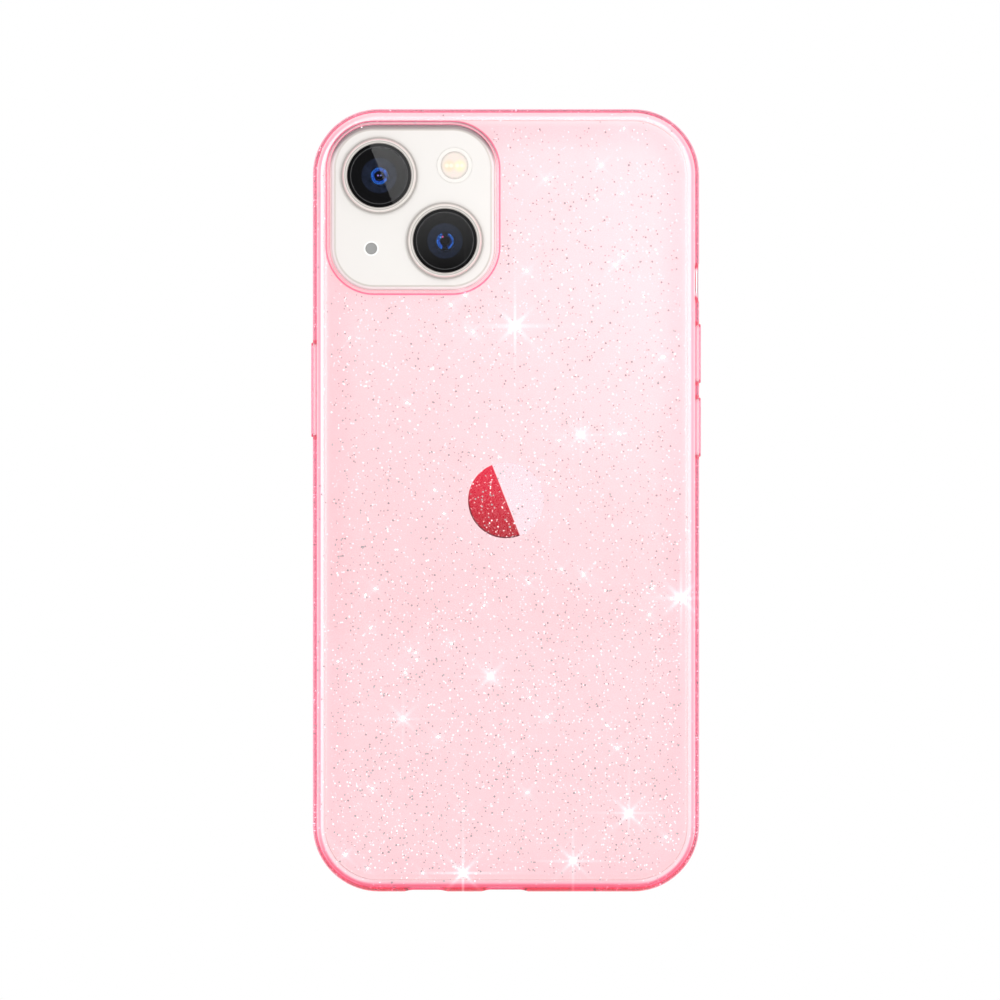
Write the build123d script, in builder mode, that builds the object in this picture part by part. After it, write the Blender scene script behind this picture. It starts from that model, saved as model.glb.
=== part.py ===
"""A soft translucent phone case, fitted to the handset that it is made for.

Units are millimetres. The case stands on its bottom edge: +X is right and +Z is up when the back is
seen, and +Y runs from the back to the screen. The origin is the bottom centre of the case's box.
Heights in named sizes are measured from the middle of the back, which the case and the handset share.
"""

import os

from build123d import *

# Handset that the pocket is made for
HANDSET_WIDTH = 71.5
HANDSET_HEIGHT = 146.7
HANDSET_DEPTH = 7.65
HANDSET_CORNER = 11.6
HANDSET_BACK_EDGE = 1.5
HANDSET_FRONT_EDGE = 0.9

# Case walls
FIT_GAP = 0.05
WALL = 0.9
BACK_THICKNESS = 1.1
RIM_HEIGHT = 0.9
GUARD_HEIGHT = 1.5
SHOULDER_RADIUS = 3.4
RIM_RADIUS = 0.6
POCKET_FILLET = 1.4
LIP_OVERLAP = 0.55
LIP_FILLET = 0.25

# Camera opening, with its centre measured from the middle of the back
CUTOUT_X, CUTOUT_Z = -17.6, 55.35
CUTOUT_WIDTH, CUTOUT_HEIGHT, CUTOUT_CORNER = 31.5, 31.4, 8.4
GUARD_LAND = 0.55
GUARD_DRAFT = 12.0
GUARD_FILLET = 0.22

# Button covers: side of the case, height above the middle and length
COVERS = {
    "volume_up": (1, 27.9, 11.2),
    "volume_down": (1, 13.9, 11.2),
    "side_button": (-1, 21.0, 17.9),
}
COVER_WIDTH = 3.6
COVER_CORNER = 1.2
COVER_PROUD = 0.3
COVER_FILLET = 0.2
WEB_WIDTH = 0.5
WEB_THICKNESS = 0.3
BUTTON_WIDTH = 3.0
BUTTON_SHORTER = 1.4
BUTTON_PROUD = 0.4
BUTTON_GAP = 0.02
SLOT_GAP = 0.06
FLANGE_MARGIN = 0.6
FLANGE_THICKNESS = 0.5

# Ring switch and its opening
SWITCH_Z = 41.3
SWITCH_LENGTH, SWITCH_WIDTH, SWITCH_PROUD, SWITCH_TRAVEL = 5.25, 2.0, 0.55, 1.2
SWITCH_OPENING = (6.3, 6.8)
SWITCH_CORNER, SWITCH_FILLET = 0.8, 0.15

# Openings in the bottom wall: centre, width across and depth across
PORT_OPENING = (-0.2, 8.0, 6.2)
SPEAKER_OPENING = (-15.2, 7.5, 5.9)
MICROPHONE_OPENING = (14.5, 5.2, 1.8)
OPENING_CORNER = 1.6
FLARE_ANGLE = 32.0
CUT_PAST = 0.3

# Handset shell
FRAME_THICKNESS = 2.6
BACK_GLASS_INSET, BACK_GLASS_THICKNESS = 1.5, 0.7
SCREEN_INSET, SCREEN_THICKNESS = 0.95, 0.65
PANEL_INSET, PANEL_THICKNESS = 3.0, 0.6
PLATE_INSET, PLATE_THICKNESS = 4.6, 0.5
SEAT_GAP = 0.02
GLASS_EDGE = 0.2
FLATNESS = 0.01

# Camera plateau and what it carries
PLATEAU_WIDTH, PLATEAU_HEIGHT, PLATEAU_CORNER = 31.0, 31.0, 8.1
PLATEAU_PROUD, PLATEAU_EDGE = 1.5, 0.9
LENSES = {"upper": (-24.0, 61.45), "lower": (-11.55, 49.1)}
RING_RADIUS, RING_STEP_RADIUS, RING_BORE = 7.3, 6.95, 6.05
RING_STEP, RING_PROUD, RING_CHAMFER = 0.35, 0.95, 0.25
SLEEVE_RADIUS, SLEEVE_BORE = 6.4, 5.6
WINDOW_THICKNESS, WINDOW_RECESS = 0.5, 0.2
BARREL_MOUTH, BARREL_THROAT, BARREL_STEP, THROAT_DEPTH = 3.35, 1.75, 0.35, 1.0
ELEMENT_RADIUS, ELEMENT_RISE = 3.2, 0.3
IRIS_RADIUS, IRIS_HOLE, IRIS_THICKNESS = 1.7, 0.75, 0.15
FLASH_X, FLASH_Z = -9.75, 63.4
FLASH_RADIUS, FLASH_BEZEL_RADIUS, FLASH_THICKNESS = 2.6, 3.3, 0.5
EMITTER_SIZE, EMITTER_SPACING, EMITTER_HEIGHT = 1.5, 2.1, 0.4
MIC_X, MIC_Z, MIC_RADIUS, MIC_THICKNESS, MIC_RECESS = -25.5, 47.65, 1.1, 0.4, 0.2

# Small handset parts
EMBLEM_RADIUS, EMBLEM_THICKNESS = 7.2, 0.06
EARPIECE_LENGTH, EARPIECE_WIDTH, EARPIECE_DROP, EARPIECE_RECESS = 9.0, 0.8, 2.2, 0.15
FRONT_CAMERA_RADIUS, FRONT_CAMERA_DROP = 1.7, 6.2
PORT_WIDTH, PORT_DEPTH, PORT_LENGTH, PORT_SKIN = 8.9, 3.2, 6.5, 0.3
TONGUE_WIDTH, TONGUE_DEPTH, TONGUE_LENGTH = 6.6, 0.7, 5.2
SCREW_X, SCREW_HEAD_RADIUS, SCREW_HEAD_HEIGHT = 6.6, 0.75, 0.6
SCREW_SHANK_RADIUS, SCREW_LENGTH, SCREW_RECESS = 0.5, 2.2, 0.15
SOUND_HOLE_RADIUS, SOUND_HOLE_SPACING = 0.6, 1.75
SPEAKER_HOLES, MICROPHONE_HOLES = 4, 2
MESH_THICKNESS, MESH_MARGIN, MESH_DEPTH = 0.3, 1.2, 2.6
ANTENNA_BREAKS = [(-1, -55.0), (1, -55.0), (-1, 58.0), (1, 58.0)]
BREAK_WIDTH, BREAK_DEPTH = 1.0, 0.8
BATTERY = (-14.5, -8.0, 30.0, 96.0, 3.6)
BOARD = (14.5, 14.0, 20.0, 96.0, 1.4)
BATTERY_CORNER = 2.0

# Places that follow from the sizes above
CASE_WIDTH = HANDSET_WIDTH + 2 * (FIT_GAP + WALL)
CASE_HEIGHT = HANDSET_HEIGHT + 2 * (FIT_GAP + WALL)
CASE_CORNER = HANDSET_CORNER + FIT_GAP + WALL
POCKET_WIDTH = HANDSET_WIDTH + 2 * FIT_GAP
POCKET_HEIGHT = HANDSET_HEIGHT + 2 * FIT_GAP
POCKET_CORNER = HANDSET_CORNER + FIT_GAP
MIDDLE_Z = CASE_HEIGHT / 2
TOTAL_DEPTH = GUARD_HEIGHT + BACK_THICKNESS + FIT_GAP + HANDSET_DEPTH + RIM_HEIGHT
RIM_Y = TOTAL_DEPTH / 2
GUARD_Y = -TOTAL_DEPTH / 2
BACK_Y = GUARD_Y + GUARD_HEIGHT
FLOOR_Y = BACK_Y + BACK_THICKNESS
HANDSET_BACK_Y = FLOOR_Y + FIT_GAP
HANDSET_FRONT_Y = HANDSET_BACK_Y + HANDSET_DEPTH
BUTTON_Y = (HANDSET_BACK_Y + HANDSET_FRONT_Y) / 2
LIP_Y = HANDSET_FRONT_Y + FIT_GAP
SIDE_X = HANDSET_WIDTH / 2
FRAME_INNER_X = SIDE_X - FRAME_THICKNESS
PLATEAU_Y = HANDSET_BACK_Y - PLATEAU_PROUD
GLASS_INNER_Y = HANDSET_BACK_Y + BACK_GLASS_THICKNESS
SCREEN_INNER_Y = HANDSET_FRONT_Y - SCREEN_THICKNESS
HANDSET_BOTTOM = -HANDSET_HEIGHT / 2
GLASS_BACK = (
    HANDSET_WIDTH - 2 * BACK_GLASS_INSET,
    HANDSET_HEIGHT - 2 * BACK_GLASS_INSET,
    HANDSET_CORNER - BACK_GLASS_INSET,
)
GLASS_FRONT = (
    HANDSET_WIDTH - 2 * SCREEN_INSET,
    HANDSET_HEIGHT - 2 * SCREEN_INSET,
    HANDSET_CORNER - SCREEN_INSET,
)


def facing_back(y, x=0.0, z=0.0):
    """A plane at depth y that looks out of the back: local x is right and local y is up."""
    return Plane(origin=(x, y, MIDDLE_Z + z), x_dir=(1, 0, 0), z_dir=(0, -1, 0))


def facing_side(side, x, z, y=BUTTON_Y):
    """A plane at distance x that looks out of the left (-1) or right (1) side: local x is up."""
    return Plane(
        origin=(side * x, y, MIDDLE_Z + z), x_dir=(0, 0, 1), z_dir=(side, 0, 0)
    )


def facing_down(z, x=0.0, y=BUTTON_Y):
    """A plane at height z that looks down: local x is right."""
    return Plane(origin=(x, y, MIDDLE_Z + z), x_dir=(1, 0, 0), z_dir=(0, 0, -1))


def outline(size, inset=0.0, mode=Mode.ADD):
    """A rounded rectangle (width, height, corner radius), made smaller all round by inset."""
    width, height, corner = size
    RectangleRounded(width - 2 * inset, height - 2 * inset, corner - inset, mode=mode)


def faces_at(builder, y):
    """The builder's flat faces that lie at depth y."""
    return builder.faces().filter_by(Axis.Y).filter_by_position(Axis.Y, y - FLATNESS, y + FLATNESS)


def save(builder, label):
    """Labels a finished piece and writes its STEP file."""
    builder.part.label = label
    export_step(builder.part, f"parts/{label}.step")


os.makedirs("parts", exist_ok=True)

CASE_OUTLINE = (CASE_WIDTH, CASE_HEIGHT, CASE_CORNER)
POCKET_OUTLINE = (POCKET_WIDTH, POCKET_HEIGHT, POCKET_CORNER)
HANDSET_OUTLINE = (HANDSET_WIDTH, HANDSET_HEIGHT, HANDSET_CORNER)
CUTOUT_OUTLINE = (CUTOUT_WIDTH, CUTOUT_HEIGHT, CUTOUT_CORNER)
PLATEAU_OUTLINE = (PLATEAU_WIDTH, PLATEAU_HEIGHT, PLATEAU_CORNER)

# ---------------------------------------------------------------- the case

# Each lead-in groove lets a handset button slide out towards the rim: side, height, length and depth
GROOVES = [
    (side, z, length - BUTTON_SHORTER + 2 * SLOT_GAP, BUTTON_PROUD + SEAT_GAP)
    for side, z, length in COVERS.values()
]
GROOVES.append((1, SWITCH_Z, SWITCH_LENGTH + 4 * SLOT_GAP, SWITCH_PROUD + FIT_GAP))

# The outer form of the case, before it is hollowed
with BuildPart() as case_form:
    with BuildSketch(facing_back(RIM_Y)):
        outline(CASE_OUTLINE)
    extrude(amount=RIM_Y - BACK_Y)
    fillet(faces_at(case_form, BACK_Y).edges(), SHOULDER_RADIUS)
    fillet(faces_at(case_form, RIM_Y).edges(), RIM_RADIUS)

with BuildPart() as case_shell:
    add(case_form.part)
    # raised guard round the camera opening
    with BuildSketch(facing_back(GUARD_Y, CUTOUT_X, CUTOUT_Z)):
        outline(CUTOUT_OUTLINE, -GUARD_LAND)
    extrude(amount=-(FLOOR_Y - GUARD_Y - BACK_THICKNESS / 2), taper=-GUARD_DRAFT)
    fillet(faces_at(case_shell, GUARD_Y).edges(), GUARD_FILLET)
    # pocket for the handset
    with BuildSketch(facing_back(RIM_Y)):
        outline(POCKET_OUTLINE)
    extrude(amount=RIM_Y - FLOOR_Y, mode=Mode.SUBTRACT)
    fillet(faces_at(case_shell, FLOOR_Y).edges(), POCKET_FILLET)
    # camera opening
    with BuildSketch(facing_back(FLOOR_Y, CUTOUT_X, CUTOUT_Z)):
        outline(CUTOUT_OUTLINE)
    extrude(amount=FLOOR_Y - GUARD_Y, mode=Mode.SUBTRACT)
    fillet(faces_at(case_shell, GUARD_Y)[0].inner_wires()[0].edges(), GUARD_FILLET)
    # windows that the button covers and their webs fill
    for side, z, length in COVERS.values():
        with BuildSketch(facing_side(side, SIDE_X, z)):
            RectangleRounded(
                length + 2 * WEB_WIDTH, COVER_WIDTH + 2 * WEB_WIDTH, COVER_CORNER + WEB_WIDTH
            )
        extrude(amount=WALL + CUT_PAST, mode=Mode.SUBTRACT)
    for side, z, length, depth in GROOVES:
        with BuildSketch(facing_side(side, SIDE_X, z, RIM_Y)):
            Rectangle(length, 2 * (RIM_Y - BUTTON_Y))
        extrude(amount=depth, mode=Mode.SUBTRACT)
    # flared openings for the switch, the charging plug and the loudspeaker
    with BuildSketch(facing_side(1, SIDE_X, SWITCH_Z)):
        RectangleRounded(*SWITCH_OPENING, OPENING_CORNER)
    extrude(amount=WALL + CUT_PAST, taper=-FLARE_ANGLE, mode=Mode.SUBTRACT)
    for x, across, deep in (PORT_OPENING, SPEAKER_OPENING):
        with BuildSketch(facing_down(HANDSET_BOTTOM, x)):
            RectangleRounded(across, deep, OPENING_CORNER)
        extrude(amount=WALL + CUT_PAST, taper=-FLARE_ANGLE, mode=Mode.SUBTRACT)
    x, across, deep = MICROPHONE_OPENING
    with BuildSketch(facing_down(HANDSET_BOTTOM, x)):
        SlotOverall(across, deep)
    extrude(amount=WALL + CUT_PAST, mode=Mode.SUBTRACT)
save(case_shell, "case_shell")

# The lip bead that snaps over the handset's front edge. It also closes the mouths of the lead-in grooves.
with BuildPart() as retaining_lip:
    with BuildSketch(facing_back(RIM_Y)):
        outline(POCKET_OUTLINE, SEAT_GAP)
        for side, z, length, depth in GROOVES:
            with Locations((side * SIDE_X, z)):
                Rectangle(2 * (depth - SEAT_GAP), length - 2 * SEAT_GAP)
        with BuildSketch(mode=Mode.SUBTRACT):
            outline(POCKET_OUTLINE, LIP_OVERLAP)
    extrude(amount=RIM_Y - LIP_Y)
    fillet(faces_at(retaining_lip, RIM_Y)[0].inner_wires()[0].edges(), LIP_FILLET)
    add(case_form.part, mode=Mode.INTERSECT)
save(retaining_lip, "retaining_lip")

# Button covers, and the thin webs that join them to the shell and bend when they are pressed
PAD_X = SIDE_X + BUTTON_PROUD + BUTTON_GAP
CASE_SIDE_X = CASE_WIDTH / 2
WEB_X = CASE_SIDE_X - WEB_THICKNESS - (CASE_SIDE_X - PAD_X - WEB_THICKNESS) / 2
for name, (side, z, length) in COVERS.items():
    with BuildPart() as cover:
        with BuildSketch(facing_side(side, PAD_X, z)):
            RectangleRounded(length, COVER_WIDTH, COVER_CORNER)
        extrude(amount=CASE_SIDE_X + COVER_PROUD - PAD_X)
        fillet(cover.faces().sort_by(Axis.X)[-1 if side > 0 else 0].edges(), COVER_FILLET)
    save(cover, f"{name}_cover")
    with BuildPart() as web:
        with BuildSketch(facing_side(side, WEB_X, z)):
            cover_outline = (length, COVER_WIDTH, COVER_CORNER)
            outline(cover_outline, SEAT_GAP - WEB_WIDTH)
            outline(cover_outline, -SEAT_GAP, Mode.SUBTRACT)
        extrude(amount=WEB_THICKNESS)
    save(web, f"{name}_web")

# ------------------------------------------------------- the handset that the case holds

with BuildPart() as frame_blank:
    with BuildSketch(facing_back(HANDSET_FRONT_Y)):
        outline(HANDSET_OUTLINE)
    extrude(amount=HANDSET_DEPTH)
    fillet(faces_at(frame_blank, HANDSET_BACK_Y).edges(), HANDSET_BACK_EDGE)
    fillet(faces_at(frame_blank, HANDSET_FRONT_Y).edges(), HANDSET_FRONT_EDGE)

with BuildPart() as break_blocks:
    for side, z in ANTENNA_BREAKS:
        with BuildSketch(facing_side(side, SIDE_X - BREAK_DEPTH, z)):
            Rectangle(BREAK_WIDTH, HANDSET_DEPTH)
        extrude(amount=2 * BREAK_DEPTH)

SWITCH_Y = BUTTON_Y - SWITCH_TRAVEL / 2
BUTTONS = {
    name.replace("_button", ""): (side, z, length - BUTTON_SHORTER)
    for name, (side, z, length) in COVERS.items()
}
SCREW_PLACES = [(-SCREW_X, 0), (SCREW_X, 0)]
HOLE_ROWS = [
    (SPEAKER_OPENING[0], SPEAKER_HOLES),
    (MICROPHONE_OPENING[0], MICROPHONE_HOLES),
]

with BuildPart() as handset_frame:
    add(frame_blank.part)
    # opening through the middle, and the seats of the two glasses
    with BuildSketch(facing_back(HANDSET_FRONT_Y)):
        outline(HANDSET_OUTLINE, FRAME_THICKNESS)
    extrude(amount=HANDSET_DEPTH, mode=Mode.SUBTRACT)
    with BuildSketch(facing_back(GLASS_INNER_Y)):
        outline(GLASS_BACK)
    extrude(amount=BACK_GLASS_THICKNESS, mode=Mode.SUBTRACT)
    with BuildSketch(facing_back(HANDSET_FRONT_Y)):
        outline(GLASS_FRONT)
    extrude(amount=SCREEN_THICKNESS, mode=Mode.SUBTRACT)
    add(break_blocks.part, mode=Mode.SUBTRACT)
    # slots for the buttons and the ring switch
    for side, z, length in BUTTONS.values():
        with BuildSketch(facing_side(side, FRAME_INNER_X, z)):
            SlotOverall(length + 2 * SLOT_GAP, BUTTON_WIDTH + 2 * SLOT_GAP)
        extrude(amount=FRAME_THICKNESS, mode=Mode.SUBTRACT)
    with BuildSketch(facing_side(1, FRAME_INNER_X, SWITCH_Z)):
        RectangleRounded(
            SWITCH_LENGTH + 2 * SLOT_GAP,
            SWITCH_WIDTH + SWITCH_TRAVEL + 2 * SLOT_GAP,
            SWITCH_CORNER + SLOT_GAP,
        )
    extrude(amount=FRAME_THICKNESS, mode=Mode.SUBTRACT)
    # charging port, screw seats and sound holes in the bottom edge
    with BuildSketch(facing_down(HANDSET_BOTTOM + FRAME_THICKNESS)):
        SlotOverall(PORT_WIDTH + 2 * SEAT_GAP, PORT_DEPTH + 2 * SEAT_GAP)
    extrude(amount=FRAME_THICKNESS, mode=Mode.SUBTRACT)
    with BuildSketch(facing_down(HANDSET_BOTTOM + SCREW_RECESS + SCREW_HEAD_HEIGHT + SEAT_GAP)):
        with Locations(*SCREW_PLACES):
            Circle(SCREW_HEAD_RADIUS + SEAT_GAP)
    extrude(amount=FRAME_THICKNESS, mode=Mode.SUBTRACT)
    with BuildSketch(facing_down(HANDSET_BOTTOM + FRAME_THICKNESS)):
        with Locations(*SCREW_PLACES):
            Circle(SCREW_SHANK_RADIUS + SEAT_GAP)
    extrude(amount=FRAME_THICKNESS, mode=Mode.SUBTRACT)
    for x, count in HOLE_ROWS:
        with BuildSketch(facing_down(HANDSET_BOTTOM + FRAME_THICKNESS, x)):
            with GridLocations(SOUND_HOLE_SPACING, 0, count, 1):
                Circle(SOUND_HOLE_RADIUS)
        extrude(amount=FRAME_THICKNESS, mode=Mode.SUBTRACT)
save(handset_frame, "handset_frame")

with BuildPart() as antenna_breaks:
    add(break_blocks.part)
    add(frame_blank.part, mode=Mode.INTERSECT)
    with BuildSketch(facing_back(GLASS_INNER_Y)):
        outline(GLASS_BACK)
    extrude(amount=BACK_GLASS_THICKNESS, mode=Mode.SUBTRACT)
    with BuildSketch(facing_back(HANDSET_FRONT_Y)):
        outline(GLASS_FRONT)
    extrude(amount=SCREEN_THICKNESS, mode=Mode.SUBTRACT)
save(antenna_breaks, "antenna_breaks")

for name, (side, z, length) in BUTTONS.items():
    with BuildPart() as button:
        with BuildSketch(facing_side(side, FRAME_INNER_X - SEAT_GAP, z)):
            SlotOverall(length, BUTTON_WIDTH)
        extrude(amount=FRAME_THICKNESS + BUTTON_PROUD + SEAT_GAP)
        with BuildSketch(facing_side(side, FRAME_INNER_X - SEAT_GAP, z)):
            SlotOverall(length + 2 * FLANGE_MARGIN, BUTTON_WIDTH + 2 * FLANGE_MARGIN)
        extrude(amount=-FLANGE_THICKNESS)
    save(button, f"handset_{name}_button")

with BuildPart() as ring_switch:
    with BuildSketch(facing_side(1, FRAME_INNER_X - SEAT_GAP, SWITCH_Z, SWITCH_Y)):
        RectangleRounded(SWITCH_LENGTH, SWITCH_WIDTH, SWITCH_CORNER)
    extrude(amount=FRAME_THICKNESS + SWITCH_PROUD + SEAT_GAP)
    fillet(ring_switch.faces().sort_by(Axis.X)[-1].edges(), SWITCH_FILLET)
    with BuildSketch(facing_side(1, FRAME_INNER_X - SEAT_GAP, SWITCH_Z, SWITCH_Y)):
        Rectangle(SWITCH_LENGTH + 2 * FLANGE_MARGIN, SWITCH_WIDTH + 2 * FLANGE_MARGIN)
    extrude(amount=-FLANGE_THICKNESS)
save(ring_switch, "ring_switch")

# Back glass, with openings for the camera plateau and a shallow seat for the emblem
with BuildPart() as handset_back_glass:
    with BuildSketch(facing_back(GLASS_INNER_Y)):
        outline(GLASS_BACK, SEAT_GAP)
    extrude(amount=BACK_GLASS_THICKNESS)
    fillet(faces_at(handset_back_glass, HANDSET_BACK_Y).edges(), GLASS_EDGE)
    with BuildSketch(facing_back(GLASS_INNER_Y, CUTOUT_X, CUTOUT_Z)):
        outline(PLATEAU_OUTLINE, -SEAT_GAP)
    extrude(amount=BACK_GLASS_THICKNESS, mode=Mode.SUBTRACT)
    with BuildSketch(facing_back(HANDSET_BACK_Y + EMBLEM_THICKNESS)):
        Circle(EMBLEM_RADIUS)
    extrude(amount=EMBLEM_THICKNESS, mode=Mode.SUBTRACT)
save(handset_back_glass, "handset_back_glass")

with BuildPart() as back_emblem:
    with BuildSketch(facing_back(HANDSET_BACK_Y + EMBLEM_THICKNESS)):
        Circle(EMBLEM_RADIUS)
    extrude(amount=EMBLEM_THICKNESS)
save(back_emblem, "back_emblem")

# Camera plateau, bored for the lenses, the flash and the microphone
with BuildPart() as camera_plateau:
    with BuildSketch(facing_back(GLASS_INNER_Y, CUTOUT_X, CUTOUT_Z)):
        outline(PLATEAU_OUTLINE)
    extrude(amount=BACK_GLASS_THICKNESS + PLATEAU_PROUD)
    fillet(faces_at(camera_plateau, PLATEAU_Y).edges(), PLATEAU_EDGE)
    with BuildSketch(facing_back(GLASS_INNER_Y)):
        with Locations(*LENSES.values()):
            Circle(SLEEVE_RADIUS + SEAT_GAP)
        with Locations((FLASH_X, FLASH_Z)):
            Circle(FLASH_BEZEL_RADIUS + SEAT_GAP)
        with Locations((MIC_X, MIC_Z)):
            Circle(MIC_RADIUS + SEAT_GAP)
    extrude(amount=BACK_GLASS_THICKNESS + PLATEAU_PROUD, mode=Mode.SUBTRACT)
save(camera_plateau, "camera_plateau")

# Lens assemblies. Profiles are drawn as (radius, height above the plateau) and turned about the lens axis.
SLEEVE_BOTTOM = -(BACK_GLASS_THICKNESS + PLATEAU_PROUD)
LEDGE = RING_PROUD - WINDOW_RECESS - WINDOW_THICKNESS - SEAT_GAP
MOUTH = LEDGE - SEAT_GAP
THROAT = MOUTH - BARREL_STEP - THROAT_DEPTH
ELEMENT_SEAT = MOUTH - BARREL_STEP + SEAT_GAP
CROWN = ELEMENT_SEAT + ELEMENT_RISE


def lens_section(x, z):
    """The plane of a lens profile: local x is the radius and local y the height above the plateau."""
    return Plane(origin=(x, PLATEAU_Y, MIDDLE_Z + z), x_dir=(1, 0, 0), z_dir=(0, 0, 1)).rotated(
        (180, 0, 0)
    )


for name, (x, z) in LENSES.items():
    axis = Axis((x, PLATEAU_Y, MIDDLE_Z + z), (0, -1, 0))
    section = lens_section(x, z)
    with BuildPart() as lens_ring:
        with BuildSketch(section):
            with BuildLine():
                Polyline(
                    (SLEEVE_BORE, SLEEVE_BOTTOM),
                    (SLEEVE_RADIUS, SLEEVE_BOTTOM),
                    (SLEEVE_RADIUS, SEAT_GAP),
                    (RING_RADIUS, SEAT_GAP),
                    (RING_RADIUS, RING_STEP),
                    (RING_STEP_RADIUS, RING_STEP),
                    (RING_STEP_RADIUS, RING_PROUD - RING_CHAMFER),
                    (RING_STEP_RADIUS - RING_CHAMFER, RING_PROUD),
                    (RING_BORE + RING_CHAMFER, RING_PROUD),
                    (RING_BORE, RING_PROUD - RING_CHAMFER),
                    (RING_BORE, LEDGE),
                    (SLEEVE_BORE, LEDGE),
                    close=True,
                )
            make_face()
        revolve(axis=axis)
    save(lens_ring, f"{name}_lens_ring")
    with BuildPart() as lens_window:
        with BuildSketch(facing_back(PLATEAU_Y - LEDGE - SEAT_GAP, x, z)):
            Circle(RING_BORE - SEAT_GAP)
        extrude(amount=WINDOW_THICKNESS)
    save(lens_window, f"{name}_lens_window")
    with BuildPart() as lens_barrel:
        with BuildSketch(section):
            with BuildLine():
                Polyline(
                    (BARREL_THROAT, SLEEVE_BOTTOM),
                    (SLEEVE_BORE - SEAT_GAP, SLEEVE_BOTTOM),
                    (SLEEVE_BORE - SEAT_GAP, MOUTH),
                    (BARREL_MOUTH, MOUTH),
                    (BARREL_MOUTH, MOUTH - BARREL_STEP),
                    (BARREL_THROAT, THROAT),
                    close=True,
                )
            make_face()
        revolve(axis=axis)
    save(lens_barrel, f"{name}_lens_barrel")
    with BuildPart() as lens_element:
        with BuildSketch(section):
            with BuildLine():
                Polyline((0, CROWN), (0, ELEMENT_SEAT), (ELEMENT_RADIUS, ELEMENT_SEAT))
                TangentArc((0, CROWN), (ELEMENT_RADIUS, ELEMENT_SEAT), tangent=(1, 0))
            make_face()
        revolve(axis=axis)
    save(lens_element, f"{name}_lens_element")
    with BuildPart() as iris:
        with BuildSketch(facing_back(PLATEAU_Y - THROAT, x, z)):
            Circle(IRIS_RADIUS)
            Circle(IRIS_HOLE, mode=Mode.SUBTRACT)
        extrude(amount=-IRIS_THICKNESS)
    save(iris, f"{name}_lens_iris")

# Flash: bezel, diffuser and two emitters
with BuildPart() as flash_bezel:
    with BuildSketch(facing_back(GLASS_INNER_Y, FLASH_X, FLASH_Z)):
        Circle(FLASH_BEZEL_RADIUS)
        Circle(FLASH_RADIUS + SEAT_GAP, mode=Mode.SUBTRACT)
    extrude(amount=BACK_GLASS_THICKNESS + PLATEAU_PROUD)
save(flash_bezel, "flash_bezel")

with BuildPart() as flash_window:
    with BuildSketch(facing_back(PLATEAU_Y + FLASH_THICKNESS, FLASH_X, FLASH_Z)):
        Circle(FLASH_RADIUS)
    extrude(amount=FLASH_THICKNESS)
save(flash_window, "flash_window")

with BuildPart() as flash_emitters:
    with BuildSketch(facing_back(GLASS_INNER_Y, FLASH_X, FLASH_Z)):
        with GridLocations(EMITTER_SPACING, 0, 2, 1):
            Rectangle(EMITTER_SIZE, EMITTER_SIZE)
    extrude(amount=BACK_GLASS_THICKNESS + PLATEAU_PROUD - FLASH_THICKNESS - EMITTER_HEIGHT)
save(flash_emitters, "flash_emitters")

with BuildPart() as rear_microphone_mesh:
    with BuildSketch(facing_back(PLATEAU_Y + MIC_RECESS + MIC_THICKNESS, MIC_X, MIC_Z)):
        Circle(MIC_RADIUS)
    extrude(amount=MIC_THICKNESS)
save(rear_microphone_mesh, "rear_microphone_mesh")

# Screen side: cover glass with the earpiece slot, display panel, carrier plate and front camera
EARPIECE_Z = -HANDSET_BOTTOM - EARPIECE_DROP
FRONT_CAMERA_Z = -HANDSET_BOTTOM - FRONT_CAMERA_DROP
PANEL_Y = SCREEN_INNER_Y - SEAT_GAP
PLATE_Y = PANEL_Y - PANEL_THICKNESS - SEAT_GAP
with BuildPart() as display_glass:
    with BuildSketch(facing_back(HANDSET_FRONT_Y)):
        outline(GLASS_FRONT, SEAT_GAP)
    extrude(amount=SCREEN_THICKNESS)
    fillet(faces_at(display_glass, HANDSET_FRONT_Y).edges(), GLASS_EDGE)
    with BuildSketch(facing_back(HANDSET_FRONT_Y, 0, EARPIECE_Z)):
        SlotOverall(EARPIECE_LENGTH, EARPIECE_WIDTH)
    extrude(amount=SCREEN_THICKNESS, mode=Mode.SUBTRACT)
save(display_glass, "display_glass")

with BuildPart() as earpiece_mesh:
    with BuildSketch(facing_back(HANDSET_FRONT_Y - EARPIECE_RECESS, 0, EARPIECE_Z)):
        SlotOverall(EARPIECE_LENGTH - 2 * SEAT_GAP, EARPIECE_WIDTH - 2 * SEAT_GAP)
    extrude(amount=MESH_THICKNESS)
save(earpiece_mesh, "earpiece_mesh")

with BuildPart() as display_panel:
    with BuildSketch(facing_back(PANEL_Y)):
        outline(HANDSET_OUTLINE, PANEL_INSET)
        with Locations((0, FRONT_CAMERA_Z)):
            Circle(FRONT_CAMERA_RADIUS + SEAT_GAP, mode=Mode.SUBTRACT)
    extrude(amount=PANEL_THICKNESS)
save(display_panel, "display_panel")

with BuildPart() as front_camera:
    with BuildSketch(facing_back(PANEL_Y, 0, FRONT_CAMERA_Z)):
        Circle(FRONT_CAMERA_RADIUS)
    extrude(amount=PANEL_THICKNESS)
save(front_camera, "front_camera")

with BuildPart() as carrier_plate:
    with BuildSketch(facing_back(PLATE_Y)):
        outline(HANDSET_OUTLINE, PLATE_INSET)
    extrude(amount=PLATE_THICKNESS)
save(carrier_plate, "carrier_plate")

# Battery and main board, fixed to the carrier plate
for name, (x, z, width, height, depth) in (("battery", BATTERY), ("main_board", BOARD)):
    with BuildPart() as block:
        with BuildSketch(facing_back(PLATE_Y - PLATE_THICKNESS, x, z)):
            RectangleRounded(width, height, BATTERY_CORNER)
        extrude(amount=depth)
    save(block, name)

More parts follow.
